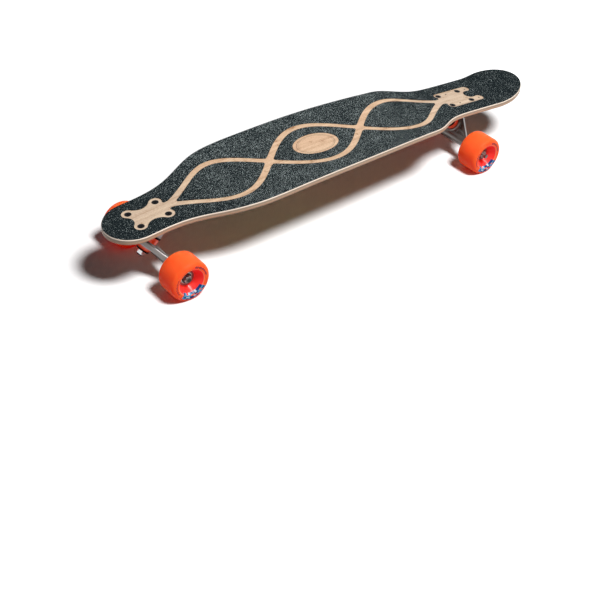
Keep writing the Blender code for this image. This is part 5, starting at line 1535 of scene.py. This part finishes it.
class LONGBOARD_OT_wheels(bpy.types.Operator):
    """Pours the wheels and fits their cores, bearings, spacers and axle nuts"""

    bl_idname = "longboard.wheels"
    bl_label = "Wheels"

    def execute(self, context):
        settings = context.scene.longboard_wheel
        truck = context.scene.longboard_truck
        urethane = tyre_material(settings)
        # Painted shade: the core's dark red stands in for the shade at the bottom of the recess.
        core_shade_red = rubber_material("core_plastic", (0.22, 0.016, 0.007), 0.40)
        rings = bearing_material()
        steel = plated_material("ground_steel", (0.62, 0.63, 0.65), 0.24)
        nut_steel = plated_material("nut_steel", truck.nut_steel, 0.28, 0.9, 1.5, 0.40)
        for end in ENDS:
            for side in (-1, 1):
                wheel = f"{end}_{hand(end, side)}"
                body = f"{wheel}_wheel"
                place = wheel_matrix(end, side)
                tyre = self.tyre(settings)
                mark(tyre, "hub", lambda co: co)
                node = f"{wheel}_tyre"
                finish_piece(f"{node}_pour", tyre, urethane, body, [node], place, 60)
                node = f"{wheel}_core"
                finish_piece(f"{node}_hub", self.core(), core_shade_red, body, [node], place)
                reach = (SPACER_LENGTH + BEARING_WIDTH) / 2
                for which, height in (("inner", -reach), ("outer", reach)):
                    bearing = self.bearing()
                    mark(bearing, "hub", lambda co: co)
                    node = f"{wheel}_{which}_bearing"
                    shift = place @ Matrix.Translation((0.0, 0.0, height))
                    finish_piece(f"{node}_rings", bearing, rings, body, [node], shift, 30)
                body = f"{end}_hanger_set"
                node = f"{wheel}_spacer_set"
                finish_piece(f"{node}_rings", self.sleeve(), steel, body, [node], place, 30)
                node = f"{wheel}_axle_nut"
                nut = lock_nut(AXLE_NUT_RADIUS, AXLE_NUT_HEIGHT, AXLE_RADIUS)
                shift = place @ Matrix.Translation((0.0, 0.0, NUT_Y - WHEEL_Y))
                finish_piece(f"{node}_lock", nut, nut_steel, body, [node], shift, 30)
        return {"FINISHED"}

    def tyre(self, settings):
        outer = WHEEL_OFFSET + WHEEL_WIDTH / 2
        inner = WHEEL_OFFSET - WHEEL_WIDTH / 2
        face = BEARING_STACK / 2
        seat = CORE_RADIUS + GAP
        ledge = CORE_RADIUS + 0.0012
        profile = [(seat, face), (ledge, face, 0.0004), (OUTER_CONE_RADIUS, outer, settings.cone_ease)]
        profile += [(WHEEL_RADIUS, outer, settings.lip), (WHEEL_RADIUS, inner, settings.lip)]
        profile += [(INNER_CONE_RADIUS, inner, settings.cone_ease), (ledge, -face, 0.0004), (seat, -face)]
        return turned(profile, WHEEL_SEGMENTS)

    def core(self):
        face = BEARING_STACK / 2
        shoulder = SPACER_LENGTH / 2 - GAP
        seat = BEARING_RADIUS + GAP
        bore = SPACER_RADIUS + SPACER_GAP
        half = [(CORE_RADIUS, -face, 0.0005), (CORE_RADIUS, face, 0.0005), (seat, face, 0.0004), (seat, shoulder)]
        return turned(half + [(bore, shoulder), (bore, -shoulder), (seat, -shoulder), (seat, -face, 0.0004)], ROUND_SEGMENTS)

    def bearing(self):
        half = BEARING_WIDTH / 2 - GAP
        bore = INNER_RING_RADIUS + RUNNING_GAP
        dip = half - 0.0005
        upper = [(bore, dip), (SHIELD_RADIUS - 0.0002, dip, 0.0002), (SHIELD_RADIUS, half), (BEARING_RADIUS, half, 0.0004)]
        return turned([(point[0], -point[1], *point[2:]) for point in upper] + upper[::-1], ROUND_SEGMENTS)

    def sleeve(self):
        hole = AXLE_RADIUS + GAP / 2
        stack = BEARING_STACK / 2
        end = stack + SPEED_WASHER
        half = SPACER_LENGTH / 2
        upper = [(SPACER_RADIUS, half), (INNER_RING_RADIUS, half), (INNER_RING_RADIUS, stack, 0.0003)]
        upper += [(SPEED_WASHER_RADIUS, stack), (SPEED_WASHER_RADIUS, end, 0.0002), (hole, end)]
        return turned([(point[0], -point[1], *point[2:]) for point in reversed(upper)] + upper, ROUND_SEGMENTS)


class LONGBOARD_OT_stage(bpy.types.Operator):
    """Sets the camera, a pale floor, the key lamp and the room's light"""

    bl_idname = "longboard.stage"
    bl_label = "Stage"

    def execute(self, context):
        settings = context.scene.longboard_stage
        self.camera(context)
        self.floor(settings)
        self.key(settings)
        self.room(context, settings)
        context.scene.view_settings.view_transform = "Standard"
        return {"FINISHED"}

    def camera(self, context):
        data = bpy.data.cameras.new("camera")
        data.lens = 66.47
        data.sensor_width = 36.0
        camera = bpy.data.objects.new("camera", data)
        context.scene.collection.objects.link(camera)
        right = Vector((-0.7818, 0.6218, 0.0460))
        back = Vector((0.5082, 0.5925, 0.6251))
        up = back.cross(right).normalized()
        right = up.cross(back).normalized()
        rotation = Matrix((right, up, back.normalized())).transposed()
        camera.matrix_world = Matrix.Translation((1.1993, 1.3299, 1.1725)) @ rotation.to_4x4()
        context.scene.camera = camera

    def floor(self, settings):
        bm = bmesh.new()
        bmesh.ops.create_grid(bm, x_segments=1, y_segments=1, size=settings.floor_size / 2)
        mesh = bpy.data.meshes.new("studio_floor")
        bm.to_mesh(mesh)
        bm.free()
        material, s, shader = new_material("studio_floor")
        path = s.add("LightPath").outputs
        seen = s.math("MAXIMUM", path["Is Camera Ray"], path["Is Transmission Ray"])
        seen = s.math("MAXIMUM", seen, path["Is Glossy Ray"])
        squeezed = s.scaled(object_place(s), (0.6, 1.0, 1.0))
        away = s.add("VectorMath", {0: squeezed}, operation="LENGTH").outputs["Value"]
        lift = s.math("MULTIPLY", s.step(away, 0.31, 0.60), seen)
        s.set(shader, {"Base Color": s.mix(seen, settings.floor_colour, (1.0, 1.0, 1.0)), "Roughness": 0.8})
        s.set(shader, {"Specular IOR Level": 0.0, "Emission Color": (1.0, 1.0, 1.0, 1.0), "Emission Strength": lift})
        mesh.materials.append(material)
        floor = bpy.data.objects.new("studio_floor", mesh)
        bpy.context.scene.collection.objects.link(floor)

    def key(self, settings):
        data = bpy.data.lights.new("key", "AREA")
        data.shape = "DISK"
        data.energy = settings.key_power
        data.size = settings.key_size
        lamp = bpy.data.objects.new("key", data)
        bpy.context.scene.collection.objects.link(lamp)
        lamp.location = (-0.23, 1.56, 3.10)
        lamp.rotation_euler = lamp.location.to_track_quat("Z", "Y").to_euler()

    def room(self, context, settings):
        world = bpy.data.worlds.new("room")
        world.use_nodes = True
        context.scene.world = world
        s = Shading(world.node_tree)
        background = world.node_tree.nodes["Background"]
        path = s.add("LightPath").outputs
        seen = s.math("MAXIMUM", path["Is Camera Ray"], path["Is Transmission Ray"])
        seen = s.math("MAXIMUM", seen, path["Is Glossy Ray"])
        strength = s.math("ADD", s.math("MULTIPLY", seen, 1.0 - settings.fill_strength), settings.fill_strength)
        s.set(background, {"Color": (1.0, 1.0, 1.0, 1.0), "Strength": strength})


class LONGBOARD_PT_panel(bpy.types.Panel):
    """Lists the longboard's pieces and their settings"""

    bl_label = "Longboard"
    bl_idname = "LONGBOARD_PT_panel"
    bl_space_type = "VIEW_3D"
    bl_region_type = "UI"
    bl_category = "Longboard"

    def draw(self, context):
        for operator in OPERATORS:
            self.layout.operator(operator.bl_idname)
        for name, group in SETTINGS.items():
            box = self.layout.box()
            settings = getattr(context.scene, name)
            for key in group.__annotations__:
                box.prop(settings, key)


SETTINGS = {
    "longboard_deck": LongboardDeckSettings,
    "longboard_truck": LongboardTruckSettings,
    "longboard_wheel": LongboardWheelSettings,
    "longboard_stage": LongboardStageSettings,
}
OPERATORS = (
    LONGBOARD_OT_stage,
    LONGBOARD_OT_deck,
    LONGBOARD_OT_grip,
    LONGBOARD_OT_baseplates,
    LONGBOARD_OT_hangers,
    LONGBOARD_OT_kingpins,
    LONGBOARD_OT_bolts,
    LONGBOARD_OT_wheels,
)


def register():
    for made in (*SETTINGS.values(), *OPERATORS, LONGBOARD_PT_panel):
        bpy.utils.register_class(made)
    for name, group in SETTINGS.items():
        setattr(bpy.types.Scene, name, bpy.props.PointerProperty(type=group))


def unregister():
    for name in SETTINGS:
        delattr(bpy.types.Scene, name)
    for made in reversed((*SETTINGS.values(), *OPERATORS, LONGBOARD_PT_panel)):
        bpy.utils.unregister_class(made)


def main():
    register()
    for operator in OPERATORS:
        group, name = operator.bl_idname.split(".")
        getattr(getattr(bpy.ops, group), name)()


if __name__ == "__main__":
    main()
